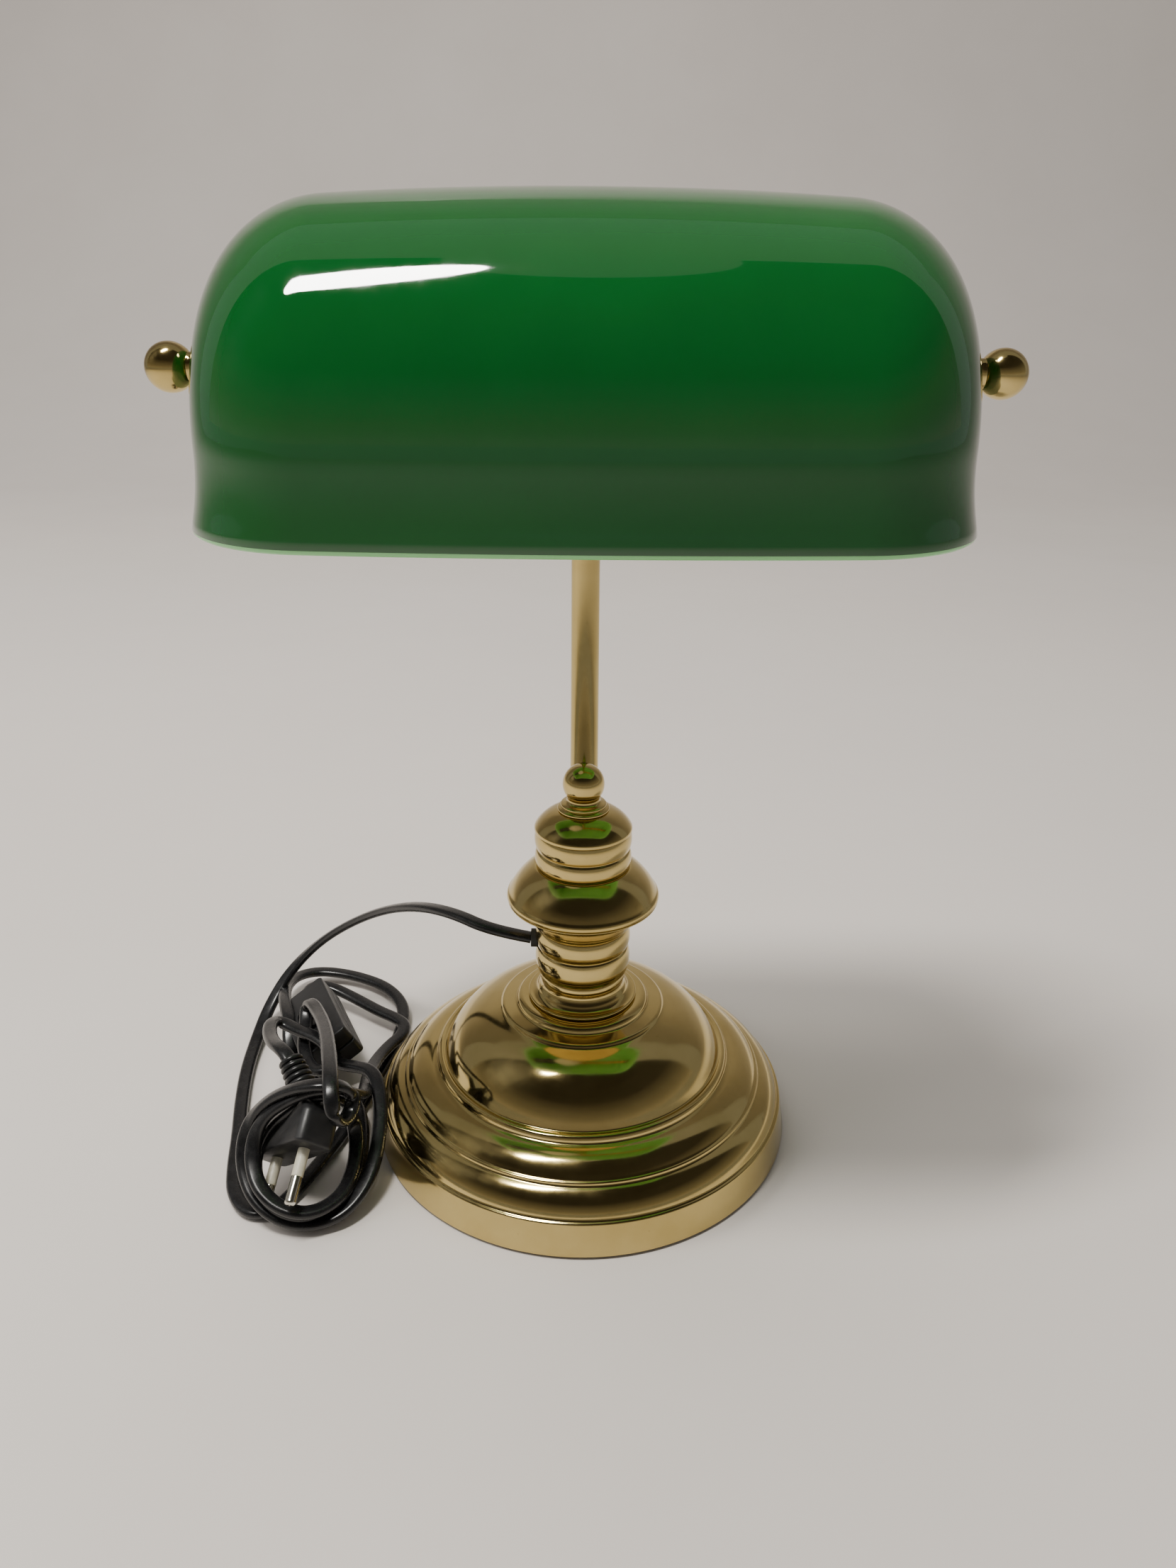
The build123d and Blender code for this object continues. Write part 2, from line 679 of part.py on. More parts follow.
switch_shell("switch_lower", 0, switch_half, False)
switch_shell("switch_upper", switch_half, 2 * switch_half, True)
with BuildPart() as switch_screws:
    with BuildSketch(switch_plane):
        with Locations(*screw_places):
            Circle(screw_radius)
    extrude(amount=2 * switch_half - screw_cover)
save(switch_screws.part, "switch_screws")
rocker_plane = Plane(origin=switch_plane.origin, x_dir=switch_plane.y_dir, z_dir=switch_plane.x_dir)
with BuildPart() as rocker_pin:
    with BuildSketch(rocker_plane.offset(-rocker_pin_length / 2)):
        with Locations((0, rocker_pivot)):
            Circle(rocker_pin_radius)
    extrude(amount=rocker_pin_length)
save(rocker_pin.part, "rocker_pin")
with BuildPart() as switch_rocker:
    with BuildSketch(rocker_plane.offset(-4.2)):
        with BuildLine():
            Polyline(
                (-8.0, rocker_pivot + 0.5), (-8.0, rocker_pivot + 5.6), (0, rocker_pivot + 4.4),
                (8.0, rocker_pivot + 3.8), (8.0, rocker_pivot + 0.5), (0, rocker_pivot - 2.5), close=True,
            )
        make_face()
    extrude(amount=8.4)
    with BuildSketch(rocker_plane.offset(-5.0)):
        with Locations((0, rocker_pivot)):
            Circle(rocker_pin_radius + fit_gap)
    extrude(amount=10.0, mode=Mode.SUBTRACT)
save(switch_rocker.part, "switch_rocker")

# ---- flat two-pin plug ----
plug_plane = Plane(origin=(-99.3, -50.0, 19.5), x_dir=(0.66, -0.41, 0.63), z_dir=(-0.11, -0.86, -0.5))
pin_places = ((-9.3, 0), (9.3, 0))
pin_length = 18.8
pin_radius = 2.0
pin_root = 1.4              # thinner part moulded into the body
root_depth = 8.0
plug_width = 34.0
plug_thickness = 14.0
plug_shoulder = 12.0        # depth of the straight part
plug_back = 22.0
relief_back = 36.0
with BuildPart() as plug_body:
    with BuildSketch(plug_plane):
        RectangleRounded(plug_width, plug_thickness, 3.0)
    with BuildSketch(plug_plane.offset(-plug_shoulder)):
        RectangleRounded(plug_width, plug_thickness, 3.0)
    with BuildSketch(plug_plane.offset(-plug_back)):
        RectangleRounded(15.0, 10.0, 3.0)
    loft(ruled=True)
    with BuildSketch(plug_plane):
        with Locations(*pin_places):
            Circle(pin_root)
    extrude(amount=-root_depth, mode=Mode.SUBTRACT)
save(plug_body.part, "plug_body")
with BuildPart() as plug_pins:
    with BuildSketch(plug_plane):
        with Locations(*pin_places):
            Circle(pin_radius)
    extrude(amount=pin_length)
    with BuildSketch(plug_plane):
        with Locations(*pin_places):
            Circle(pin_root)
    extrude(amount=-root_depth)
save(plug_pins.part, "plug_pins")
with BuildPart() as plug_relief:
    with BuildSketch(plug_plane.offset(-plug_back)):
        Circle(4.9)
    with BuildSketch(plug_plane.offset(-relief_back)):
        Circle(3.2)
    loft(ruled=True)
save(plug_relief.part, "plug_relief")
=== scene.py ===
import math

import bmesh
import bpy
from mathutils import Matrix, Vector


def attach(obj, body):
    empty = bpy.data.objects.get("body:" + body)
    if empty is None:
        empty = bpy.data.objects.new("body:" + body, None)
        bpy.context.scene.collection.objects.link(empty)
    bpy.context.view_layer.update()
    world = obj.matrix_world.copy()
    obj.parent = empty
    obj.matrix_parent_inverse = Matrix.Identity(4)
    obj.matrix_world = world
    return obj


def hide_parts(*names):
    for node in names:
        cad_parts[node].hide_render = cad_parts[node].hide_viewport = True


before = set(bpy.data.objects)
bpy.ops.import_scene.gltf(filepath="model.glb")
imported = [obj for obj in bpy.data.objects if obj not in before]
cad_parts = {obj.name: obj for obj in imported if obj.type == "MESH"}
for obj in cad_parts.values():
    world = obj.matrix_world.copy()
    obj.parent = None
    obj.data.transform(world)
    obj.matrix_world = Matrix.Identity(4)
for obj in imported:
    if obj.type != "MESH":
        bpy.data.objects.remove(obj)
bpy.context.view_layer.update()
collection = bpy.context.scene.collection
mm = 0.001
print("frame:", len(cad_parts), "nodes")


# camera and lights
view = {
    "place": (0.00205, -0.3667, 0.3003),
    "down": 24.01,      # degrees below the horizon
    "turn": -0.09,
    "roll": 0.48,
    "lens": 27.05,      # sensor 36 mm on the long side
}


def addCamera():
    down, turn, roll = (math.radians(view[k]) for k in ("down", "turn", "roll"))
    forward = Vector((math.sin(turn) * math.cos(down), math.cos(turn) * math.cos(down), -math.sin(down)))
    right = Vector((math.cos(turn), -math.sin(turn), 0))
    up = right.cross(forward)
    tiltedRight = right * math.cos(roll) + up * math.sin(roll)
    tiltedUp = up * math.cos(roll) - right * math.sin(roll)
    data = bpy.data.cameras.new("camera")
    data.lens = view["lens"]
    data.clip_start = 0.01
    data.clip_end = 50
    cam = bpy.data.objects.new("camera", data)
    tilted = Matrix((tiltedRight, tiltedUp, -forward)).transposed().to_4x4()
    cam.matrix_world = Matrix.Translation(view["place"]) @ tilted
    collection.objects.link(cam)
    bpy.context.scene.camera = cam


lights = {
    "ceilingLamp": {
        "place": (-0.385, -0.216, 1.549), "target": (0, 0, 0.1), "shape": "ELLIPSE", "size": (0.18, 0.50),
        "power": 24, "colour": (1.0, 0.97, 0.92), "glossy": True,
    },
    "leftWindow": {
        "place": (-1.7, -0.3, 1.5), "target": (0, 0, 0.2), "shape": "RECTANGLE", "size": (0.5, 1.3),
        "power": 16, "colour": (1.0, 0.98, 0.95), "glossy": True,
    },
    "softOverhead": {
        "place": (-0.5, 0.7, 2.4), "target": (0, 0.2, 0), "shape": "RECTANGLE", "size": (2.2, 2.2),
        "power": 34, "colour": (1.0, 0.98, 0.95), "glossy": False,
    },
}


def addLight(name, given):
    data = bpy.data.lights.new(name, "AREA")
    data.shape = given["shape"]
    data.size, data.size_y = given["size"]
    data.energy = given["power"]
    data.color = given["colour"]
    place, target = Vector(given["place"]), Vector(given["target"])
    lamp = bpy.data.objects.new(name, data)
    lamp.location = place
    lamp.rotation_euler = (target - place).to_track_quat("-Z", "Y").to_euler()
    lamp.visible_camera = False
    lamp.visible_glossy = given["glossy"]      # False keeps it out of the polished surfaces
    collection.objects.link(lamp)


addCamera()
for name, given in lights.items():
    addLight(name, given)
print("camera and", len(lights), "lights")


# cord
lead = {
    "width": 5.4,
    "thickness": 3.2,
    "length": 1.5,      # metres
    "order": 3, "resolution": 8,
    # route in millimetres: out of the column, over to the left and down to the floor
    "run": [
        (-18.6, 0, 76), (-33, 0.5, 78.5), (-48, 12, 79), (-64, 30, 71.5), (-81, 49, 58.5),
        (-98, 62, 44.5), (-114, 69, 30.5), (-127, 67, 17.5), (-134, 55, 7.5), (-135.5, 39, 3),
        (-134.5, 18, 2.4), (-131, -3, 2.4), (-127, -21, 2.4), (-124, -38, 2.4), (-120.5, -51, 2.4),
        (-113, -60, 2.4), (-104.5, -59, 2.4),
    ],
    # under the plug and back along the base into a wide loop
    "wideLoop": [
        (-98.5, -47.5, 2.4), (-94, -35.5, 2.4), (-89.5, -22, 2.4), (-86, -8, 2.4), (-83, 5.5, 2.4),
        (-80, 19, 2.6), (-77.5, 33, 3.0), (-76, 47, 3.4), (-78, 62, 3.8), (-87, 74.5, 4.2),
        (-100, 81.5, 4.6), (-113, 85, 5.0), (-122.5, 83.8, 5.6), (-128.2, 77, 7.2), (-129.2, 67, 9.6),
        (-127.6, 57.2, 12.6), (-125.2, 48, 15.2), (-122.2, 39, 16.9), (-118.9, 30.5, 17.3),
        (-117.9, 23.6, 14.2), (-115.8, 17.4, 8.6), (-109.2, 12.4, 4.4), (-101, 8.6, 3.2),
    ],
    # two turns over the back of the plug
    "firstTurn": [
        (-93.0, 3.0, 4.2), (-87.6, -3.6, 5.4), (-83.6, -12.0, 6.0), (-80.2, -23.3, 6.0),
        (-78.6, -37.9, 5.8), (-80.0, -50.6, 5.5), (-84.7, -59.6, 5.0), (-92.1, -65.0, 5.5),
        (-100.5, -64.1, 7.0), (-107.8, -59.5, 10.0), (-112.3, -51.8, 14.0), (-112.0, -45.1, 19.0),
        (-107.7, -42.3, 25.0), (-101.2, -42.4, 31.0), (-94.3, -42.6, 36.6), (-88.4, -41.0, 38.0),
    ],
    "secondTurn": [
        (-83.8, -38.4, 34.0), (-81.6, -34.4, 26.0), (-80.2, -34.0, 18.0), (-79.0, -39.2, 12.8),
        (-78.8, -47.4, 10.5), (-80.5, -58.0, 9.5), (-85.9, -64.5, 8.8), (-92.8, -67.6, 9.5),
        (-100.9, -66.2, 11.5), (-107.7, -61.6, 15.0), (-111.5, -54.4, 19.5), (-111.7, -48.3, 25.5),
        (-108.2, -45.3, 31.5), (-101.7, -44.3, 36.5), (-94.2, -44.0, 40.6), (-87.6, -43.2, 42.0),
    ],
    # back to the far end of the switch, and through it
    "toSwitch": [
        (-81.4, -39.6, 39.0), (-78.6, -33.0, 31.5), (-78.6, -22.6, 23.0), (-80.9, -8.2, 16.0),
        (-82.3, 5.6, 11.5), (-81.5, 17.6, 8.5), (-78.4, 28.2, 7.2), (-74.5, 34.8, 7.0),
        (-74.1, 42.2, 7.0), (-79.0, 47.2, 7.0), (-86.4, 51.7, 7.0), (-94.0, 57.1, 7.5),
        (-101.2, 61.6, 8.4), (-108.4, 65.0, 9.8), (-114.6, 65.4, 11.2), (-117.8, 61.0, 12.2),
        (-117.4, 54.8, 12.6), (-115.0, 49.7, 12.6), (-109.5, 39.7, 12.0), (-104.9, 29.4, 13.0),
        (-100.2, 19.2, 13.9), (-96.6, 8.8, 16.4),
    ],
    # out of the near end into the last turn
    "lastTurn": [
        (-94.6, 3.8, 17.2), (-90.6, 0.2, 18.4), (-85.4, -2.4, 19.8), (-79.6, -5.6, 20.8),
        (-75.6, -12.0, 20.4), (-72.8, -23.9, 17.5), (-72.0, -33.1, 14.5), (-71.9, -44.2, 11.5),
        (-74.4, -53.9, 8.0), (-79.5, -61.4, 5.0), (-86.5, -65.0, 3.4), (-94.6, -66.3, 3.6),
        (-103.1, -64.5, 5.5), (-110.3, -60.3, 9.5), (-115.0, -53.0, 14.5), (-116.4, -46.4, 21.0),
        (-113.9, -41.8, 28.5), (-107.0, -41.5, 36.0), (-98.2, -43.6, 42.0), (-90.8, -45.6, 45.2),
        (-84.8, -45.2, 45.2),
    ],
    # folded back over the switch, then up to the plug
    "fold": [
        (-80.2, -43.0, 42.6), (-77.9, -41.4, 37.6), (-78.7, -44.2, 33.2), (-80.2, -49.6, 33.0),
        (-81.5, -53.8, 36.6), (-82.4, -54.4, 42.2), (-83.4, -50.0, 46.8), (-85.2, -41.8, 48.0),
        (-88.6, -28.0, 45.4), (-93.0, -12.0, 41.0), (-97.6, 2.0, 36.8), (-102.2, 13.4, 33.2),
        (-106.2, 21.8, 31.2), (-109.2, 26.6, 28.8), (-110.4, 26.6, 25.2), (-109.9, 22.4, 22.8),
        (-109.1, 17.4, 21.9),
    ],
    "toPlug": [
        (-108.2, 11.2, 21.6), (-106.6, 4.6, 21.0), (-103.8, -1.6, 20.2), (-99.8, -6.0, 20.2),
        (-95.8, -5.6, 21.4), (-95.0, -1.0, 23.2), (-97.8, 4.0, 25.0), (-102.6, 7.6, 26.0),
        (-107.4, 10.0, 26.2), (-112.0, 12.4, 26.4), (-116.0, 14.8, 26.8), (-119.0, 14.4, 28.4),
        (-120.0, 9.8, 30.2), (-118.6, 2.8, 32.0), (-115.8, -5.0, 34.2), (-112.2, -12.0, 36.8),
        (-108.8, -16.8, 38.6), (-105.6, -20.6, 38.4), (-102.6, -24.4, 35.8),
    ],
}


def sectionCurve(name, width, thickness, steps=8):
    data = bpy.data.curves.new(name, "CURVE")
    data.dimensions = "2D"
    half = (width - thickness) / 2
    points = []
    for side in (1, -1):
        for k in range(steps + 1):
            a = math.pi * (k / steps - 0.5)
            points.append((side * (half + thickness / 2 * math.cos(a)), side * thickness / 2 * math.sin(a)))
    spline = data.splines.new("POLY")
    spline.points.add(len(points) - 1)
    for p, (x, y) in zip(spline.points, points):
        p.co = (x * mm, y * mm, 0, 1)
    spline.use_cyclic_u = True
    shape = bpy.data.objects.new(name, data)
    shape.hide_render = True
    collection.objects.link(shape)
    return shape


def nurbsCurve(name, points, section=None):
    data = bpy.data.curves.new(name, "CURVE")
    data.dimensions = "3D"
    data.resolution_u = lead["resolution"]
    data.twist_mode = "Z_UP"
    spline = data.splines.new("NURBS")
    spline.points.add(len(points) - 1)
    for p, co in zip(spline.points, points):
        p.co = (*(v * mm for v in co), 1)
    spline.order_u = lead["order"]
    spline.use_endpoint_u = True
    if section:
        data.bevel_mode = "OBJECT"
        data.bevel_object = section
        data.use_fill_caps = True
    piece = bpy.data.objects.new(name, data)
    collection.objects.link(piece)
    return piece


leadRoute = [p for part in lead.values() if isinstance(part, list) for p in part]
leadSection = sectionCurve("leadSection", lead["width"], lead["thickness"])
mainsLead = nurbsCurve("mainsLead", leadRoute, leadSection)
print("cord:", len(leadRoute), "points")


# node material helpers
def newMaterial(name):
    material = bpy.data.materials.new(name)
    material.use_nodes = True
    tree = material.node_tree
    shader = tree.nodes["Principled BSDF"]
    place = tree.nodes.new("ShaderNodeTexCoord")
    return material, tree, shader, place.outputs["Object"]


def noiseNode(tree, place, scale, detail=4, roughness=0.55, stretch=None):
    node = tree.nodes.new("ShaderNodeTexNoise")
    node.inputs["Scale"].default_value = scale
    node.inputs["Detail"].default_value = detail
    node.inputs["Roughness"].default_value = roughness
    if stretch:
        mapping = tree.nodes.new("ShaderNodeMapping")
        mapping.inputs["Scale"].default_value = stretch
        tree.links.new(place, mapping.inputs["Vector"])
        place = mapping.outputs["Vector"]
    tree.links.new(place, node.inputs["Vector"])
    return node.outputs["Fac"]


def rampNode(tree, value, stops):
    node = tree.nodes.new("ShaderNodeValToRGB")
    ramp = node.color_ramp
    while len(ramp.elements) < len(stops):
        ramp.elements.new(0.5)
    for element, (at, colour) in zip(ramp.elements, stops):
        element.position = at
        element.color = (*colour, 1) if hasattr(colour, "__len__") else (colour, colour, colour, 1)
    tree.links.new(value, node.inputs["Fac"])
    return node.outputs["Color"]


def mixNode(tree, factor, first, second, blend="MIX"):
    node = tree.nodes.new("ShaderNodeMix")
    node.data_type = "RGBA"
    node.blend_type = blend
    if isinstance(factor, (int, float)):
        node.inputs["Factor"].default_value = factor
    else:
        tree.links.new(factor, node.inputs["Factor"])
    tree.links.new(first, node.inputs["A"])
    tree.links.new(second, node.inputs["B"])
    return node.outputs["Result"]


def bumpNode(tree, height, strength, distance, normal=None):
    node = tree.nodes.new("ShaderNodeBump")
    node.inputs["Strength"].default_value = strength
    node.inputs["Distance"].default_value = distance
    tree.links.new(height, node.inputs["Height"])
    if normal:
        tree.links.new(normal, node.inputs["Normal"])
    return node.outputs["Normal"]


brassGrain = {
    "cloud": 38, "specks": 420, "handling": 70, "ripple": 46, "fine": 900,
    "speckTone": (0.45, 0.40, 0.35),
}


def brassMaterial(name, colour, stain, rough, grain):
    material, tree, shader, place = newMaterial(name)
    shader.inputs["Metallic"].default_value = 1
    cloud = noiseNode(tree, place, brassGrain["cloud"], 6, 0.6)
    specks = noiseNode(tree, place, brassGrain["specks"], 3, 0.5)
    tone = rampNode(tree, cloud, [(0.30, colour), (0.72, stain)])
    spots = rampNode(tree, specks, [(0.70, 0.0), (0.78, 0.35)])
    dark = tree.nodes.new("ShaderNodeRGB")
    dark.outputs[0].default_value = (*(s * t for s, t in zip(stain, brassGrain["speckTone"])), 1)
    tree.links.new(mixNode(tree, spots, tone, dark.outputs[0]), shader.inputs["Base Color"])
    handling = noiseNode(tree, place, brassGrain["handling"], 5, 0.65)
    tree.links.new(rampNode(tree, handling, [(0.35, rough), (0.75, rough * 2.1)]), shader.inputs["Roughness"])
    fine = bumpNode(tree, noiseNode(tree, place, brassGrain["fine"], 2, 0.5), grain, 0.00004)
    ripple = noiseNode(tree, place, brassGrain["ripple"], 2, 0.4)
    tree.links.new(bumpNode(tree, ripple, 0.25, 0.0002, fine), shader.inputs["Normal"])
    return material


def plainMaterial(name, colour, shade, rough, metallic=0.0, scale=160, bump=0.15, depth=0.00008):
    material, tree, shader, place = newMaterial(name)
    shader.inputs["Metallic"].default_value = metallic
    cloud = noiseNode(tree, place, scale, 5, 0.6)
    tree.links.new(rampNode(tree, cloud, [(0.3, colour), (0.7, shade)]), shader.inputs["Base Color"])
    polish = rampNode(tree, cloud, [(0.25, rough * 0.8), (0.8, rough * 1.3)])
    tree.links.new(polish, shader.inputs["Roughness"])
    fine = noiseNode(tree, place, scale * 5, 3, 0.6)
    tree.links.new(bumpNode(tree, fine, bump, depth), shader.inputs["Normal"])
    return material


brass = brassMaterial("polishedBrass", (0.63, 0.50, 0.21), (0.52, 0.40, 0.15), rough=0.085, grain=0.05)
innerBrass = brassMaterial("bracketBrass", (0.62, 0.46, 0.18), (0.46, 0.32, 0.11), rough=0.22, grain=0.2)
steel = plainMaterial("zincSteel", (0.62, 0.62, 0.60), (0.46, 0.46, 0.44),
                      rough=0.30, metallic=1.0, scale=300)
tin = plainMaterial("nickelCap", (0.66, 0.64, 0.58), (0.50, 0.48, 0.42), rough=0.24, metallic=1.0, scale=420)
iron = plainMaterial("castIron", (0.055, 0.052, 0.050), (0.028, 0.026, 0.025),
                     rough=0.75, metallic=0.3, scale=240, bump=0.7, depth=0.0006)
felt = plainMaterial("greenFelt", (0.020, 0.055, 0.030), (0.012, 0.035, 0.018),
                     rough=0.95, scale=900, bump=1.0, depth=0.0005)
rubber = plainMaterial("blackRubber", (0.016, 0.016, 0.016), (0.028, 0.028, 0.028), rough=0.60, scale=300)
holderPlastic = plainMaterial("blackHolder", (0.014, 0.014, 0.014), (0.024, 0.023, 0.022),
                              rough=0.35, scale=220)
ceramic = plainMaterial("glazedCeramic", (0.80, 0.78, 0.72), (0.70, 0.68, 0.62), rough=0.30, scale=120)
cable = plainMaterial("leadSheath", (0.005, 0.005, 0.0055), (0.009, 0.009, 0.0095),
                      rough=0.26, scale=260, bump=0.10, depth=0.00005)
mouldedPlastic = plainMaterial("mouldedBlack", (0.009, 0.009, 0.0095), (0.014, 0.014, 0.0145),
                               rough=0.40, scale=340, bump=0.25, depth=0.00006)
gripPlastic = plainMaterial("ribbedGrip", (0.006, 0.006, 0.0065), (0.011, 0.011, 0.011),
                            rough=0.32, scale=300, bump=0.15, depth=0.00005)
sleevePlastic = plainMaterial("pinSleeve", (0.58, 0.55, 0.43), (0.48, 0.45, 0.34),
                              rough=0.40, scale=500, bump=0.1, depth=0.00003)
pinMetal = plainMaterial("nickelPin", (0.80, 0.78, 0.70), (0.66, 0.63, 0.54),
                         rough=0.16, metallic=1.0, scale=600, bump=0.05, depth=0.00002)


glassGrain = {"cloud": 14, "smear": 55, "ripple": 20}


# extra: values set on the shader's own sockets
def glassMaterial(name, colour, shade, rough, extra):
    material, tree, shader, place = newMaterial(name)
    cloud = noiseNode(tree, place, glassGrain["cloud"], 3, 0.5)
    tree.links.new(rampNode(tree, cloud, [(0.32, colour), (0.70, shade)]), shader.inputs["Base Color"])
    smear = noiseNode(tree, place, glassGrain["smear"], 5, 0.7, (1.0, 0.35, 1.0))
    tree.links.new(rampNode(tree, smear, [(0.42, rough), (0.85, rough * 3.2)]), shader.inputs["Roughness"])
    shader.inputs["IOR"].default_value = 1.52
    ripple = noiseNode(tree, place, glassGrain["ripple"], 2, 0.4)
    tree.links.new(bumpNode(tree, ripple, 0.18, 0.0004), shader.inputs["Normal"])
    for socket, value in extra.items():
        shader.inputs[socket].default_value = value
    return material


greenGlass = glassMaterial("casedGreenGlass", (0.0045, 0.094, 0.0155), (0.0030, 0.074, 0.0120), 0.028, extra={
    "Subsurface Weight": 0.12, "Subsurface Radius": (0.001, 0.004, 0.001),
    "Coat Weight": 0.6, "Coat Roughness": 0.015,
})
# pale green lining colour: painted glow of light coming through the green glass into the white opal lining
liningPaintedGlow = glassMaterial("paintedGlowLining", (0.30, 0.72, 0.30), (0.26, 0.66, 0.26), rough=0.06, extra={
    "Subsurface Weight": 0.25, "Subsurface Radius": (0.004, 0.005, 0.004),
})
bulbGlass = glassMaterial("frostedBulb", (0.86, 0.86, 0.83), (0.80, 0.80, 0.78), rough=0.30, extra={
    "Transmission Weight": 0.35,
})
print("materials:", len(bpy.data.materials))


# mesh helpers
def meshPiece(name, mesh, material=None, body="lamp", replaces=()):
    piece = bpy.data.objects.new(name, mesh)
    collection.objects.link(piece)
    if material:
        mesh.materials.clear()
        mesh.materials.append(material)
    if body:
        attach(piece, body)
    if replaces:
        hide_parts(*replaces)
    return piece


def cleanMesh(mesh, merge=1e-6):
    bm = bmesh.new()
    bm.from_mesh(mesh)
    bmesh.ops.remove_doubles(bm, verts=bm.verts, dist=merge)
    bmesh.ops.recalc_face_normals(bm, faces=bm.faces)
    bm.to_mesh(mesh)
    bm.free()
    return mesh


# points after start up to end, on an arc that swells to the right of the travel by bulge
def arcPoints(start, end, bulge, steps=10):
    (x0, y0), (x1, y1) = start, end
    chord = math.hypot(x1 - x0, y1 - y0)
    if not bulge:
        return [end]
    radius = (chord * chord / 4 + bulge * bulge) / (2 * abs(bulge))
    half = 2 * math.atan2(2 * abs(bulge), chord)
    side = 1 if bulge > 0 else -1
    nx, ny = (y1 - y0) / chord, -(x1 - x0) / chord
    mx, my = (x0 + x1) / 2, (y0 + y1) / 2
    cx = mx - nx * side * (radius - abs(bulge))
    cy = my - ny * side * (radius - abs(bulge))
    first = math.atan2(y0 - cy, x0 - cx)
    sweep = 2 * half * side
    angles = [first + sweep * k / steps for k in range(1, steps)]
    return [(cx + radius * math.cos(a), cy + radius * math.sin(a)) for a in angles] + [end]


# closed outline from corner points and bulges, with its corners rounded by the corner length
def softLoop(points, bulges, corner=0.35, steps=4, arcSteps=10, share=0.4):
    def reachInto(edge):      # a rounding takes no more than this share of an edge
        return min(corner, share * pathLength(edge))

    edges = []
    for k, start in enumerate(points):
        bulge = bulges[k] if k < len(bulges) else 0
        edges.append([start] + arcPoints(start, points[(k + 1) % len(points)], bulge, arcSteps))
    loop = []
    for k, c in enumerate(points):
        before, after = edges[k - 1], edges[k]
        reach = min(reachInto(before), reachInto(after))
        a = pointAt(list(reversed(before)), reach)
        b = pointAt(after, reach)
        for s in range(steps + 1):
            t = s / steps
            loop.append(tuple((1 - t) ** 2 * a[i] + 2 * t * (1 - t) * c[i] + t * t * b[i] for i in (0, 1)))
        for j, p in enumerate(after[1:-1], 1):
            if pathLength(after[:j + 1]) > reach and pathLength(after[j:]) > reachInto(after):
                loop.append(p)
    return loop


def pathLength(points):
    return sum(math.dist(a, b) for a, b in zip(points, points[1:]))


def pointAt(points, distance):
    for a, b in zip(points, points[1:]):
        step = math.dist(a, b)
        if step >= distance and step > 0:
            t = distance / step
            return tuple(a[i] + (b[i] - a[i]) * t for i in range(len(a)))
        distance -= step
    return points[-1]


# mesh with the shape of a second mesh cut away
def cutWith(mesh, cutterMesh, name):
    target = meshPiece(name + "Blank", mesh, None, None)
    tool = meshPiece(name + "Cutter", cutterMesh, None, None)
    cut = target.modifiers.new("cut", "BOOLEAN")
    cut.object = tool
    cut.solver = "EXACT"
    made = bpy.data.meshes.new_from_object(target.evaluated_get(bpy.context.evaluated_depsgraph_get()))
    target.modifiers.remove(cut)
    bpy.data.objects.remove(target)
    bpy.data.objects.remove(tool)
    return made


# node tree with these named inputs and one geometry output
def newTree(name, inputs, output):
    tree = bpy.data.node_groups.new(name, "GeometryNodeTree")
    for socket, kind in inputs.items():
        tree.interface.new_socket(socket, in_out="INPUT", socket_type="NodeSocket" + kind)
    tree.interface.new_socket(output, in_out="OUTPUT", socket_type="NodeSocketGeometry")
    return tree


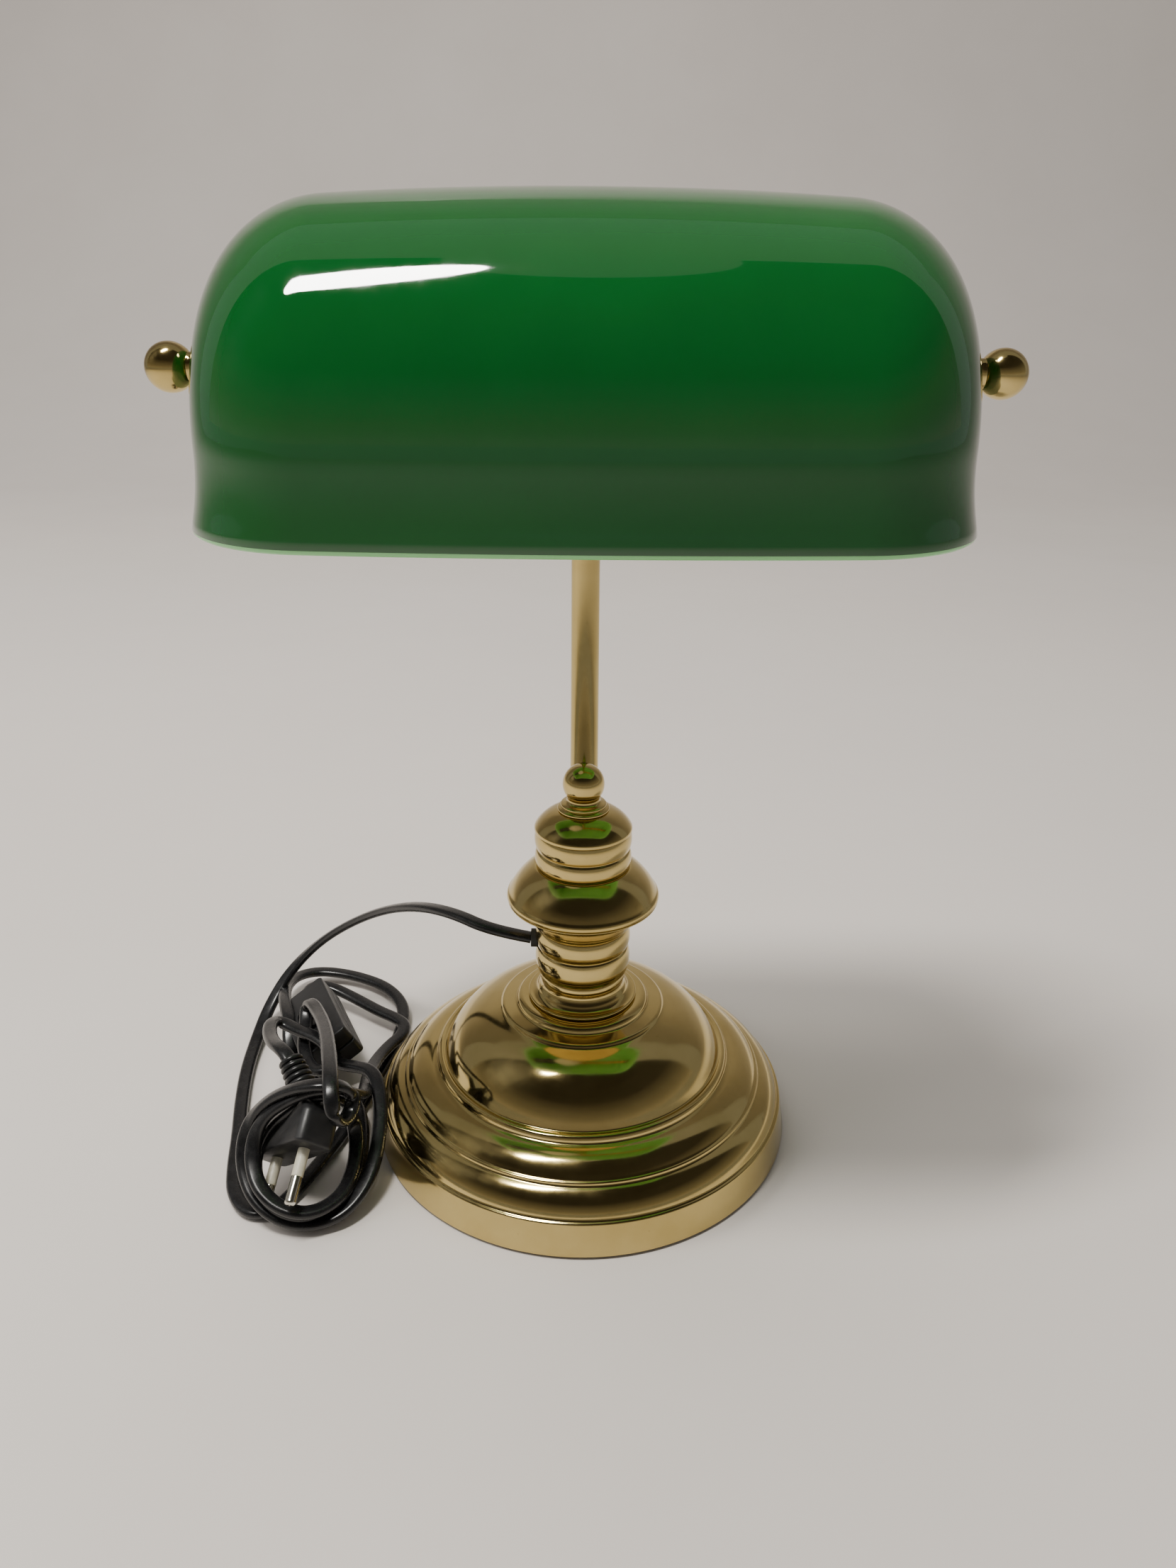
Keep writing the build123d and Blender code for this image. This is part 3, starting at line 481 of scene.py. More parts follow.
# turns a profile round an axis
def spinTree():
    tree = newTree("spinProfile", {
        "Profile": "Geometry", "Segments": "Int", "Crease Angle": "Float", "Turn": "Vector", "Place": "Vector",
        "Finish": "Material",
    }, "Piece")
    node, link = tree.nodes.new, tree.links.new
    given, out = node("NodeGroupInput"), node("NodeGroupOutput")

    def calc(operation, first, second):
        m = node("ShaderNodeMath")
        m.operation = operation
        for socket, value in zip(m.inputs, (first, second)):
            if isinstance(value, (int, float)):
                socket.default_value = value
            elif value is not None:
                link(value, socket)
        return m.outputs[0]

    size = node("GeometryNodeAttributeDomainSize")
    link(given.outputs["Profile"], size.inputs["Geometry"])
    rows = size.outputs["Point Count"]
    grid = node("GeometryNodeMeshGrid")
    link(calc("ADD", given.outputs["Segments"], 1), grid.inputs["Vertices X"])
    link(rows, grid.inputs["Vertices Y"])
    index = node("GeometryNodeInputIndex").outputs[0]
    row = calc("MODULO", index, rows)
    column = calc("FLOOR", calc("DIVIDE", calc("ADD", index, 0.001), rows), None)
    angle = calc("MULTIPLY", calc("DIVIDE", column, given.outputs["Segments"]), math.tau)
    sample = node("GeometryNodeSampleIndex")
    sample.data_type = "FLOAT_VECTOR"
    sample.domain = "POINT"
    link(given.outputs["Profile"], sample.inputs["Geometry"])
    link(node("GeometryNodeInputPosition").outputs[0], sample.inputs["Value"])
    link(row, sample.inputs["Index"])
    split = node("ShaderNodeSeparateXYZ")
    link(sample.outputs["Value"], split.inputs[0])
    spun = node("ShaderNodeCombineXYZ")
    link(calc("MULTIPLY", split.outputs["X"], calc("COSINE", angle, None)), spun.inputs["X"])
    link(calc("MULTIPLY", split.outputs["X"], calc("SINE", angle, None)), spun.inputs["Y"])
    link(split.outputs["Z"], spun.inputs["Z"])
    move = node("GeometryNodeSetPosition")
    link(grid.outputs["Mesh"], move.inputs["Geometry"])
    link(spun.outputs[0], move.inputs["Position"])
    merge = node("GeometryNodeMergeByDistance")
    merge.inputs["Distance"].default_value = 1e-6
    link(move.outputs[0], merge.inputs["Geometry"])
    smooth = node("GeometryNodeSetShadeSmooth")
    link(merge.outputs[0], smooth.inputs["Geometry"])
    edge = node("GeometryNodeInputMeshEdgeAngle")
    crease = node("GeometryNodeSetShadeSmooth")
    crease.domain = "EDGE"
    link(smooth.outputs[0], crease.inputs["Geometry"])
    soft = calc("LESS_THAN", edge.outputs["Unsigned Angle"], given.outputs["Crease Angle"])
    link(soft, crease.inputs["Shade Smooth"])
    turn = node("GeometryNodeTransform")
    link(crease.outputs[0], turn.inputs["Geometry"])
    link(given.outputs["Turn"], turn.inputs["Rotation"])
    link(given.outputs["Place"], turn.inputs["Translation"])
    real = node("GeometryNodeRealizeInstances")
    link(turn.outputs[0], real.inputs["Geometry"])
    finish = node("GeometryNodeSetMaterial")
    link(real.outputs[0], finish.inputs["Geometry"])
    link(given.outputs["Finish"], finish.inputs["Material"])
    link(finish.outputs[0], out.inputs["Piece"])
    return tree


spinProfile = spinTree()


# mesh put through a node tree with these input values, as a plain mesh
def runTree(tree, mesh, values):
    carrier = bpy.data.objects.new("carrier", mesh)
    collection.objects.link(carrier)
    modifier = carrier.modifiers.new("nodes", "NODES")
    modifier.node_group = tree
    for item in tree.interface.items_tree:
        if item.in_out == "INPUT" and item.name in values:
            modifier[item.identifier] = values[item.name]
    made = bpy.data.meshes.new_from_object(carrier.evaluated_get(bpy.context.evaluated_depsgraph_get()))
    carrier.modifiers.remove(modifier)
    bpy.data.objects.remove(carrier)
    return made


# profile: closed loop of (radius, height) in millimetres; place in metres
def spin(profile, material, segments=128, crease=40, turn=(0, 0, 0), place=(0, 0, 0)):
    mesh = bpy.data.meshes.new("profile")
    points = [(max(r, 0) * mm, 0, z * mm) for r, z in profile + profile[:1]]
    mesh.from_pydata(points, [(k, k + 1) for k in range(len(points) - 1)], [])
    made = runTree(spinProfile, mesh, {
        "Segments": segments, "Crease Angle": math.radians(crease), "Turn": turn, "Place": place, "Finish": material,
    })
    return cleanMesh(made)


def joinMeshes(name, meshes):
    bm = bmesh.new()
    for m in meshes:
        bm.from_mesh(m)
    joined = bpy.data.meshes.new(name)
    bm.to_mesh(joined)
    bm.free()
    for m in meshes[0].materials:
        joined.materials.append(m)
    return joined


turnedSegments = {"base": 256, "column": 192, "ball": 96}

base = {
    "wall": 1.0,
    "outline": [
        (77.0, 1.0), (75.2, 12.2), (73.8, 13.4), (66.2, 21.4), (65.2, 22.6), (55.2, 28.2), (54.0, 29.9),
        (51.0, 30.4), (31.0, 48.8), (29.4, 50.4), (24.0, 50.9), (22.0, 53.4), (5.05, 53.4),
    ],
    "bulge": [0, 0.5, 1.4, 0.5, 1.2, -0.4, 0.8, 3.4, -0.4, 0, 0.6, 0],
    "corner": 0.9,
}

# closed outline of the shell, up its outside and back down its inside
def baseProfile():
    outer = base["outline"]
    inner = [(r - base["wall"], z - base["wall"]) for r, z in outer]
    inner[0] = (inner[0][0], outer[0][1])
    inner[-1] = (outer[-1][0], inner[-1][1])
    bulges = base["bulge"] + [0] + [-b for b in base["bulge"][::-1]]
    return softLoop(outer + inner[::-1], bulges, base["corner"])


baseMesh = spin(baseProfile(), brass, turnedSegments["base"])
meshPiece("baseShell", baseMesh, None, "lamp", ["base_shell"])

# nodes it stands for, corner rounding, outline, bulges
column = {
    "neckRing": (["neck_ring"], 0.5, [
        (5.05, 53.4), (19.0, 53.4), (19.6, 55.0), (16.0, 57.0), (14.6, 60.0), (15.4, 63.0), (14.0, 64.3),
        (5.05, 64.3)], [0, 0.4, -0.8, -0.4, 0.4, 0.3]),
    "lowerCollar": (["lower_collar"], 0.3, [
        (14.4, 64.3), (16.0, 64.3), (16.4, 73.7), (15.8, 74.3), (16.4, 74.9), (16.2, 82.4), (5.05, 82.4),
        (5.05, 80.4), (14.4, 80.4)], [0, 0.9, 0, 0, 0.8]),
    "lowerCone": (["lower_cone"], 0.4, [
        (5.05, 82.4), (16.2, 82.4), (17.6, 85.0), (26.3, 93.1), (26.7, 93.9), (25.5, 93.9), (17.0, 86.2),
        (15.4, 83.4), (5.05, 83.4)], [0, 0.3, -0.6, 0.2, 0, 0.6]),
    "upperCone": (["upper_cone"], 0.5, [
        (25.5, 93.9), (26.7, 93.9), (26.1, 96.5), (17.0, 106.6), (13.0, 106.6), (13.0, 105.6), (15.8, 105.6),
        (24.7, 96.1)], [0, 0.5, 1.0, 0, 0, 0, -0.9, -0.3]),
    "upperCollar": (["upper_collar"], 0.3, [
        (14.6, 106.6), (16.2, 106.6), (16.4, 112.6), (15.8, 113.2), (16.4, 113.8), (16.4, 120.1), (14.6, 120.1)],
        [0, 0.6, 0, 0, 0.6]),
    "capDome": (["cap_dome"], 0.4, [
        (15.9, 120.1), (17.0, 120.1), (17.0, 121.3), (8.8, 127.6), (3.2, 127.6), (3.2, 126.6), (8.4, 126.6),
        (15.9, 121.1)], [0, 0, 1.0, 0, 0, 0, -0.9]),
}
for name, (nodes, corner, points, bulges) in column.items():
    ring = spin(softLoop(points, bulges, corner), brass, turnedSegments["column"])
    meshPiece(name, ring, None, "lamp", nodes)


# ball on an axis, from its foot radius round to the pole
def ballProfile(radius, middle, foot, steps=40):
    low = math.asin(foot / radius)
    angles = [low + (math.pi - low) * k / steps for k in range(steps + 1)]
    return [(radius * math.sin(a), middle - radius * math.cos(a)) for a in angles]


finial = {
    "foot": [
        (3.05, 127.6), (8.7, 127.6), (8.7, 128.8), (7.6, 129.2), (7.6, 130.2), (6.4, 130.6), (5.6, 132.0),
        (5.0, 132.0), (3.05, 132.0),
    ],
    "footBulge": [0, 0.3, 0, 0.3, 0, -0.3],
    "footCorner": 0.3,
    "ballRadius": 7.2, "ballAt": 137.1, "ballFoot": 4.9,
    "bore": [(0.0, 134.2), (3.05, 134.2), (3.05, 131.6)],
}


def finialMesh():
    foot = softLoop(finial["foot"], finial["footBulge"], finial["footCorner"])
    ball = ballProfile(finial["ballRadius"], finial["ballAt"], finial["ballFoot"]) + finial["bore"]
    return joinMeshes("finial", [spin(profile, brass, turnedSegments["ball"]) for profile in (foot, ball)])


meshPiece("finialBall", finialMesh(), brass, "lamp", ["finial"])

knob = {
    "axisY": -8.2, "axisZ": 271.0,
    "flangeAt": 108.1,
    # radius, distance from the flange's face
    "flange": [(2.05, 0), (5.8, 0), (5.8, 1.4), (5.0, 2.0), (5.0, 3.2), (4.4, 6.2), (2.05, 6.2)],
    "flangeBulge": [0, 0.15, 0, 0, -0.35],
    "flangeCorner": 0.25,
    "ballRadius": 7.2, "ballAt": 119.9, "ballFoot": 4.3,
    "bore": 2.05, "boreStart": 5.6, "boreEnd": 0.8,
}


def knobMesh(side):
    at, ballAt, bore = knob["flangeAt"], knob["ballAt"], knob["bore"]
    flange = softLoop([(r, at + z) for r, z in knob["flange"]], knob["flangeBulge"], knob["flangeCorner"])
    ball = ballProfile(knob["ballRadius"], ballAt, knob["ballFoot"]) + [
        (0.0, ballAt - knob["boreEnd"]), (bore, ballAt - knob["boreEnd"]), (bore, at + knob["boreStart"])]
    turn = (0, math.radians(90 * side), 0)
    place = (0, knob["axisY"] * mm, knob["axisZ"] * mm)
    return joinMeshes("knob", [spin(p, brass, turnedSegments["ball"], turn=turn, place=place)
                               for p in (flange, ball)])


for name, side, body in (("knobRight", 1, "knob_right"), ("knobLeft", -1, "knob_left")):
    meshPiece(name, knobMesh(side), brass, body, [body])
print("spun pieces done")


# glass shade
shade = {
    "end": 108.8, "halfDepth": 65.0, "skirt": 22.5, "bottom": 231.0, "middleY": -8.2, "wall": 3.5,
    "crown": 1200.0, "shoulder": 36.5, "dome": 155.0,      # radii of the outline from above
    "flare": 12.8,      # degrees
    "flareStart": 16.0, "sideFlare": 0.3,      # height of the soft start, share at the front and back
    "lip": 1.5, "lipSteps": 6,
    "seatX": 106.8, "seatRadius": 7.0, "seatBlend": 2.0, "studZ": 271.0,
    "holeRadius": 5.0, "drillX": 106, "drillHalf": 12, "drillSegments": 48,
    "columns": 180, "turnRows": 64, "skirtRows": 9,
}


# half outline of the glass from above, right end to left end, as (x, y, outward x, outward y)
def outlinePoints(inset, count):
    endR, shoulderR, crownR = (shade[k] - inset for k in ("dome", "shoulder", "crown"))
    endC = Vector((shade["end"] - shade["dome"], 0))
    crownC = Vector((0, shade["halfDepth"] - shade["crown"]))
    line = crownC - endC
    sideA, sideB = endR - shoulderR, crownR - shoulderR
    along = (sideA ** 2 - sideB ** 2 + line.length_squared) / (2 * line.length)
    across = math.sqrt(sideA ** 2 - along ** 2)
    unit = line.normalized()
    normal = Vector((unit.y, -unit.x))
    if normal.y < 0:
        normal = -normal
    shoulderC = endC + unit * along + normal * across
    a1 = math.atan2(*(shoulderC - endC).yx)
    a2 = math.atan2(*(shoulderC - crownC).yx)
    arcs = [(endC, endR, 0, a1), (shoulderC, shoulderR, a1, a2), (crownC, crownR, a2, math.pi / 2)]
    lengths = [r * abs(b - a) for _, r, a, b in arcs]
    total = sum(lengths)
    quarter = []
    for k in range(count // 2 + 1):
        s = total * k / (count // 2)
        for (c, r, a, b), size in zip(arcs, lengths):
            if s <= size + 1e-9:
                break
            s -= size
        t = a + (b - a) * min(s / size, 1)
        quarter.append((c.x + r * math.cos(t), c.y + r * math.sin(t), math.cos(t), math.sin(t)))
    quarter[0] = (quarter[0][0], 0.0, 1.0, 0.0)
    quarter[-1] = (0.0, quarter[-1][1], 0.0, 1.0)
    return quarter + [(-x, y, -nx, ny) for x, y, nx, ny in quarter[-2::-1]]


# how far the skirt stands out, this far below the axis, with a soft start
def flareAt(depth):
    start = shade["flareStart"]
    slope = math.tan(math.radians(shade["flare"]))
    return slope * depth * depth / (2 * start) if depth < start else slope * (depth - start / 2)


def shadeRows(inset):
    axisZ, middleY, count = shade["bottom"] + shade["skirt"], shade["middleY"], shade["skirtRows"]
    outline = outlinePoints(inset, shade["columns"])
    depths = [(shade["skirt"] - shade["lip"]) * (1 - k / count) for k in range(count)]

    def skirtRow(depth, sign):
        out = flareAt(depth)
        return [(x + nx * out, middleY + sign * (y + shade["sideFlare"] * ny * out), axisZ - depth)
                for x, y, nx, ny in outline]

    rows = [skirtRow(d, -1) for d in depths]
    for k in range(shade["turnRows"] + 1):
        a = math.pi * k / shade["turnRows"]
        rows.append([(x, middleY - y * math.cos(a), axisZ + y * math.sin(a)) for x, y, _, _ in outline])
    return rows + [skirtRow(d, 1) for d in depths[::-1]]


# outer skin pulled in to the flat seat of the knob
def seated(point):
    x, y, z = point
    away = math.hypot(y - shade["middleY"], z - shade["studZ"])
    if abs(x) > shade["seatX"] and away < shade["seatRadius"] + shade["seatBlend"]:
        t = min(max((away - shade["seatRadius"]) / shade["seatBlend"], 0), 1)
        x = math.copysign(shade["seatX"] + (abs(x) - shade["seatX"]) * t * t * (3 - 2 * t), x)
    return (x, y, z)


def shadeMesh():
    outside = [[seated(p) for p in row] for row in shadeRows(0)]
    inside = shadeRows(shade["wall"])
    bm = bmesh.new()

    def skin(rows, flip, material):
        verts = [[bm.verts.new([v * mm for v in p]) for p in row] for row in rows]
        for r in range(len(rows) - 1):
            for c in range(len(rows[0]) - 1):
                quad = [verts[r][c], verts[r][c + 1], verts[r + 1][c + 1], verts[r + 1][c]]
                face = bm.faces.new(quad[::-1] if flip else quad)
                face.material_index = material
                face.smooth = True

    skin(outside, False, 0)
    skin(inside, True, 1)
    # ground and polished lower edge, half round in section
    for last in (0, -1):
        lip = []
        for k in range(shade["lipSteps"] + 1):
            t = math.pi * k / shade["lipSteps"]
            ring = []
            for a, b in zip(outside[last], inside[last]):
                middle = [(a[i] + b[i]) / 2 for i in range(3)]
                ring.append(tuple(middle[i] + (a[i] - middle[i]) * math.cos(t) for i in range(2))
                            + (middle[2] - shade["lip"] * math.sin(t),))
            lip.append(ring)
        skin(lip, last == 0, 2)
    bmesh.ops.remove_doubles(bm, verts=bm.verts, dist=2e-5)
    bmesh.ops.recalc_face_normals(bm, faces=bm.faces)
    mesh = bpy.data.meshes.new("shadeGlass")
    bm.to_mesh(mesh)
    bm.free()
    return mesh


def holeDrill(x):
    radius, reach = shade["holeRadius"], shade["drillHalf"]
    outline = [(0, -reach), (radius, -reach), (radius, reach), (0, reach)]
    place = (x * mm, shade["middleY"] * mm, shade["studZ"] * mm)
    return spin(outline, liningPaintedGlow, shade["drillSegments"], turn=(0, math.radians(90), 0), place=place)


glass = shadeMesh()
# outer skin, inner skin and lower edge; inner skin and edge carry the painted glow green
for material in (greenGlass, liningPaintedGlow, liningPaintedGlow):
    glass.materials.append(material)
drills = joinMeshes("drills", [holeDrill(x) for x in (-shade["drillX"], shade["drillX"])])
bored = cutWith(glass, drills, "shade")
meshPiece("shadeGlass", bored, None, "shade", ["glass_shade"])
print("shade:", len(bored.polygons), "faces")


# matrix of a plane: X across, Z out, origin in millimetres
def planeMatrix(origin, across, out):
    z = Vector(out).normalized()
    x = Vector(across)
    x = (x - z * x.dot(z)).normalized()
    m = Matrix((x, z.cross(x), z)).transposed().to_4x4()
    m.translation = Vector(origin) * mm
    return m


def roundedOutline(width, length, corner, steps=6):
    points = []
    for sx, sy, start in ((1, 1, 0), (-1, 1, 90), (-1, -1, 180), (1, -1, 270)):
        cx, cy = sx * (width / 2 - corner), sy * (length / 2 - corner)
        for k in range(steps + 1):
            a = math.radians(start + 90 * k / steps)
            points.append((cx + corner * math.cos(a), cy + corner * math.sin(a)))
    return points


# closed body through rings that all have the same number of points
def ringBody(name, rings):
    bm = bmesh.new()
    loops = [[bm.verts.new(p) for p in ring] for ring in rings]
    for low, high in zip(loops, loops[1:]):
        for k in range(len(low)):
            j = (k + 1) % len(low)
            bm.faces.new([low[k], low[j], high[j], high[k]])
    bm.faces.new(loops[0][::-1])
    bm.faces.new(loops[-1])
    bmesh.ops.recalc_face_normals(bm, faces=bm.faces)
    mesh = bpy.data.meshes.new(name)
    bm.to_mesh(mesh)
    bm.free()
    return mesh


# body from levels (height, width, length, corner), stacked along the plane's Z
def loftedMesh(name, place, levels):
    return ringBody(name, [
        [place @ Vector((x * mm, y * mm, height * mm)) for x, y in roundedOutline(width, length, corner)]
        for height, width, length, corner in levels])


# levels of a block whose top and bottom edges are rounded by soft
def edgeRounded(low, high, width, length, corner, soft, steps=4, leastCorner=0.3):
    levels = []
    for k in range(steps + 1):
        a = math.pi / 2 * k / steps
        inset = soft * (1 - math.sin(a))
        height = low + soft * (1 - math.cos(a))
        levels.append((height, width - 2 * inset, length - 2 * inset, max(corner - inset, leastCorner)))
    return levels + [(high + low - h, w, l, c) for h, w, l, c in levels[::-1]]


def smoothByAngle(mesh, degrees):
    limit = math.radians(degrees)
    bm = bmesh.new()
    bm.from_mesh(mesh)
    for face in bm.faces:
        face.smooth = True
    for edge in bm.edges:
        edge.smooth = len(edge.link_faces) == 2 and edge.calc_face_angle(0) < limit
    bm.to_mesh(mesh)
    bm.free()
    return mesh


switch = {
    "place": planeMatrix((-102.6, 30.1, 8.8), (0.775, 0.395, 0.493), (-0.48, -0.139, 0.866)),
    "width": 20.5, "length": 45.0, "half": 7.0, "corner": 1.8, "seam": 0.25,
    "softBelow": 0.8, "softAbove": 0.7,
    "crease": 35,      # degrees, edges flatter than this look smooth
}
core = {"foot": 2, "underTop": 7, "inset": 1.2, "corner": 3.0, "soft": 0.4}
well = {"width": 9.8, "length": 17.6, "depth": 5.0, "above": 2.0, "splay": 1.6, "corner": 4.8, "splayCorner": 5.6}


def switchBlock(name, low, high, inset, corner, soft):
    width, length = switch["width"] - inset, switch["length"] - inset
    return loftedMesh(name, switch["place"], edgeRounded(low, high, width, length, corner, soft))


half, top, gap = switch["half"], 2 * switch["half"], switch["seam"] / 2
lowerHalf = switchBlock("switchBase", 0, half - gap, 0, switch["corner"], switch["softBelow"])
upperHalf = switchBlock("switchTop", half + gap, top, 0, switch["corner"], switch["softAbove"])
inside = switchBlock("switchCore", core["foot"], top - core["underTop"],
                     core["inset"], core["corner"], core["soft"])
wellCutter = loftedMesh("switchWell", switch["place"], [
    (top - well["depth"], well["width"], well["length"], well["corner"]),
    (top + well["above"], well["width"] + well["splay"], well["length"] + well["splay"], well["splayCorner"]),
])
for name, mesh, material, nodes in (
        ("switchBase", lowerHalf, mouldedPlastic, ["switch_lower", "switch_screws"]),
        ("switchTop", cutWith(upperHalf, wellCutter, "switchTop"), mouldedPlastic, ["switch_upper"]),
        ("switchCore", inside, rubber, [])):
    meshPiece(name, smoothByAngle(mesh, switch["crease"]), material, "lamp", nodes)

rocker = {
    "width": 8.2, "length": 15.4, "depth": 3.2,
    "rise": 0.3, "slope": 0.055, "hollow": 0.020,      # shape of its top along the length
    "bluntness": 0.35, "rows": 16, "columns": 24, "crease": 40,
}


# saddle-shaped key, high at its far end
def rockerMesh():
    def blunt(v):
        return math.copysign(abs(v) ** rocker["bluntness"], v)

    width, length = rocker["width"], rocker["length"]
    foot = 2 * switch["half"] - rocker["depth"]
    rings = []
    for row in range(rocker["rows"] + 1):
        y = -length / 2 + length * row / rocker["rows"]
        crest = 2 * switch["half"] + rocker["rise"] + rocker["slope"] * y + rocker["hollow"] * y * y / 2
        ring = []
        for k in range(rocker["columns"]):
            a = math.tau * k / rocker["columns"]
            x = width / 2 * blunt(math.cos(a))
            z = (crest + foot) / 2 + (crest - foot) / 2 * blunt(math.sin(a))
            ring.append(switch["place"] @ Vector((x * mm, y * mm, z * mm)))
        rings.append(ring)
    return smoothByAngle(ringBody("switchRocker", rings), rocker["crease"])


meshPiece("switchRocker", rockerMesh(), mouldedPlastic, "rocker", ["switch_rocker"])

plug = {
    "place": planeMatrix((-99.3, -50, 19.5), (0.66, -0.41, 0.63), (-0.11, -0.86, -0.5)),
    # height, width, length, corner
    "levels": [
        (-23.0, 11.0, 8.8, 3.4), (-21.5, 14.0, 10.2, 3.6), (-18.5, 20.5, 11.6, 3.8), (-14.5, 29.0, 13.2, 3.6),
        (-12.0, 33.4, 13.9, 3.2), (-10.5, 34.0, 14.0, 3.0), (-0.9, 34.0, 14.0, 3.0), (-0.3, 33.6, 13.6, 2.8),
        (0.0, 32.8, 12.8, 2.4),
    ],
    "crease": 38,
}
plugMesh = smoothByAngle(loftedMesh("plugBody", plug["place"], plug["levels"]), plug["crease"])
meshPiece("plugBody", plugMesh, mouldedPlastic, "lamp", ["plug_body"])

pins = {
    "fromMiddle": 9.3,
    "tip": [(0, -6), (1.6, -6), (1.6, 9.2), (1.95, 9.4), (1.95, 17.4), (1.1, 18.8), (0, 18.8)],
    "tipBulge": [0, 0, 0, 0, 0.35],
    "tipCorner": 0.35,
    "sleeve": [(1.65, -0.5), (1.98, -0.5), (1.98, 9.3), (1.65, 9.6)],
    "sleeveCorner": 0.15,
    "segments": 40, "crease": 35,
}


def pinPair(name, profile, material):
    turn = tuple(plug["place"].to_euler())
    places = [tuple(plug["place"] @ Vector((side * pins["fromMiddle"] * mm, 0, 0))) for side in (-1, 1)]
    return joinMeshes(name, [spin(profile, material, pins["segments"], pins["crease"], turn, place)
                             for place in places])


tips = pinPair("plugPins", softLoop(pins["tip"], pins["tipBulge"], pins["tipCorner"]), pinMetal)
meshPiece("plugPins", tips, pinMetal, "lamp", ["plug_pins"])
sleeves = pinPair("pinSleeves", softLoop(pins["sleeve"], [], pins["sleeveCorner"]), sleevePlastic)
meshPiece("pinSleeves", sleeves, sleevePlastic, "lamp", [])


# rings standing in a row between two points, each one smaller than the last
def ribTree():
    tree = newTree("ribRow", {
        "Rib": "Geometry", "Count": "Int", "Start": "Vector", "End": "Vector", "First Size": "Float",
        "Last Size": "Float", "Turn": "Vector", "Finish": "Material",
    }, "Ribs")
    node, link = tree.nodes.new, tree.links.new
    given, out = node("NodeGroupInput"), node("NodeGroupOutput")
    row = node("GeometryNodeMeshLine")
    row.mode = "END_POINTS"
    link(given.outputs["Count"], row.inputs["Count"])
    link(given.outputs["Start"], row.inputs["Start Location"])
    link(given.outputs["End"], row.inputs["Offset"])
    less = node("ShaderNodeMath")
    less.operation = "SUBTRACT"
    less.inputs[1].default_value = 1
    link(given.outputs["Count"], less.inputs[0])
    size = node("ShaderNodeMapRange")
    link(node("GeometryNodeInputIndex").outputs[0], size.inputs["Value"])
    link(less.outputs[0], size.inputs["From Max"])
    link(given.outputs["First Size"], size.inputs["To Min"])
    link(given.outputs["Last Size"], size.inputs["To Max"])
    stand = node("GeometryNodeInstanceOnPoints")
    link(row.outputs[0], stand.inputs["Points"])
    link(given.outputs["Rib"], stand.inputs["Instance"])
    link(given.outputs["Turn"], stand.inputs["Rotation"])
    link(size.outputs["Result"], stand.inputs["Scale"])
    real = node("GeometryNodeRealizeInstances")
    link(stand.outputs[0], real.inputs[0])
    finish = node("GeometryNodeSetMaterial")
    link(real.outputs[0], finish.inputs["Geometry"])
    link(given.outputs["Finish"], finish.inputs["Material"])
    link(finish.outputs[0], out.inputs["Ribs"])
    return tree


relief = {
    "start": (-97.1, -31.8, 30.0), "end": (-103.9, -22.4, 37.0),
    "ribs": 7, "firstSize": 5.7, "lastSize": 4.6,      # rib radii
    # rib outline, as shares of its radius
    "rib": [(0.62, -0.19), (0.92, -0.19), (1.0, 0.0), (0.92, 0.19), (0.62, 0.19)],
    "ribCorner": 0.08,
    "core": [(0, -1), (4.5, -1), (3.6, 13.9), (0, 13.9)],
    "coreCorner": 0.5,
    "segments": 32,
}
reliefStart, reliefEnd = (Vector(relief[k]) * mm for k in ("start", "end"))
reliefTurn = tuple((reliefEnd - reliefStart).to_track_quat("Z", "Y").to_euler())
ribOutline = [(r / mm, z / mm) for r, z in softLoop(relief["rib"], [], relief["ribCorner"])]
ribs = runTree(ribTree(), spin(ribOutline, gripPlastic, relief["segments"]), {
    "Count": relief["ribs"], "Start": tuple(reliefStart), "End": tuple(reliefEnd),
    "First Size": relief["firstSize"] * mm, "Last Size": relief["lastSize"] * mm,
    "Turn": reliefTurn, "Finish": gripPlastic,
})
reliefCore = spin(softLoop(relief["core"], [], relief["coreCorner"]), gripPlastic, relief["segments"],
                  turn=reliefTurn, place=tuple(reliefStart))
reliefMesh = joinMeshes("plugRelief", [cleanMesh(ribs), reliefCore])
meshPiece("plugRelief", reliefMesh, gripPlastic, "lamp", ["plug_relief"])
print("switch and plug done")


# cord joined to its pieces
mainsLead.data.materials.append(cable)
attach(mainsLead, "lamp")
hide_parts("cord_run", "cord_coil", "cord_loops")


# finishes of the nodes that stay
finishes = {
    "arm_tube": brass, "arm_hub": innerBrass, "arm_socket": innerBrass, "shade_bracket": innerBrass,
    "hub_screw": innerBrass, "finial_stud": innerBrass, "stem_rod": steel, "stem_nut": steel, "stem_washer": steel,
    "stud_nuts": steel, "shade_studs": steel, "holder_screw": steel, "rocker_pin": steel, "switch_screws": steel,
    "base_plate": steel, "base_weight": iron, "felt_pad": felt, "bulb_glass": bulbGlass, "bulb_cap": tin,
    "bulb_tip_contact": tin, "holder_sleeve": tin, "holder_contact": tin, "holder_shell": holderPlastic,
    "holder_ring": holderPlastic, "holder_insert": ceramic, "outer_washers": rubber, "inner_washers": rubber,
    "cord_bush": rubber, "arm_lead": cable, "holder_lead": cable,
}
for name, material in finishes.items():
    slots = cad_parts[name].data.materials
    slots.clear()
    slots.append(material)


backdrop = {"front": -3.0, "back": 1.3, "bend": 0.9, "bendSteps": 15, "halfWidth": 4.0, "top": 4.0}


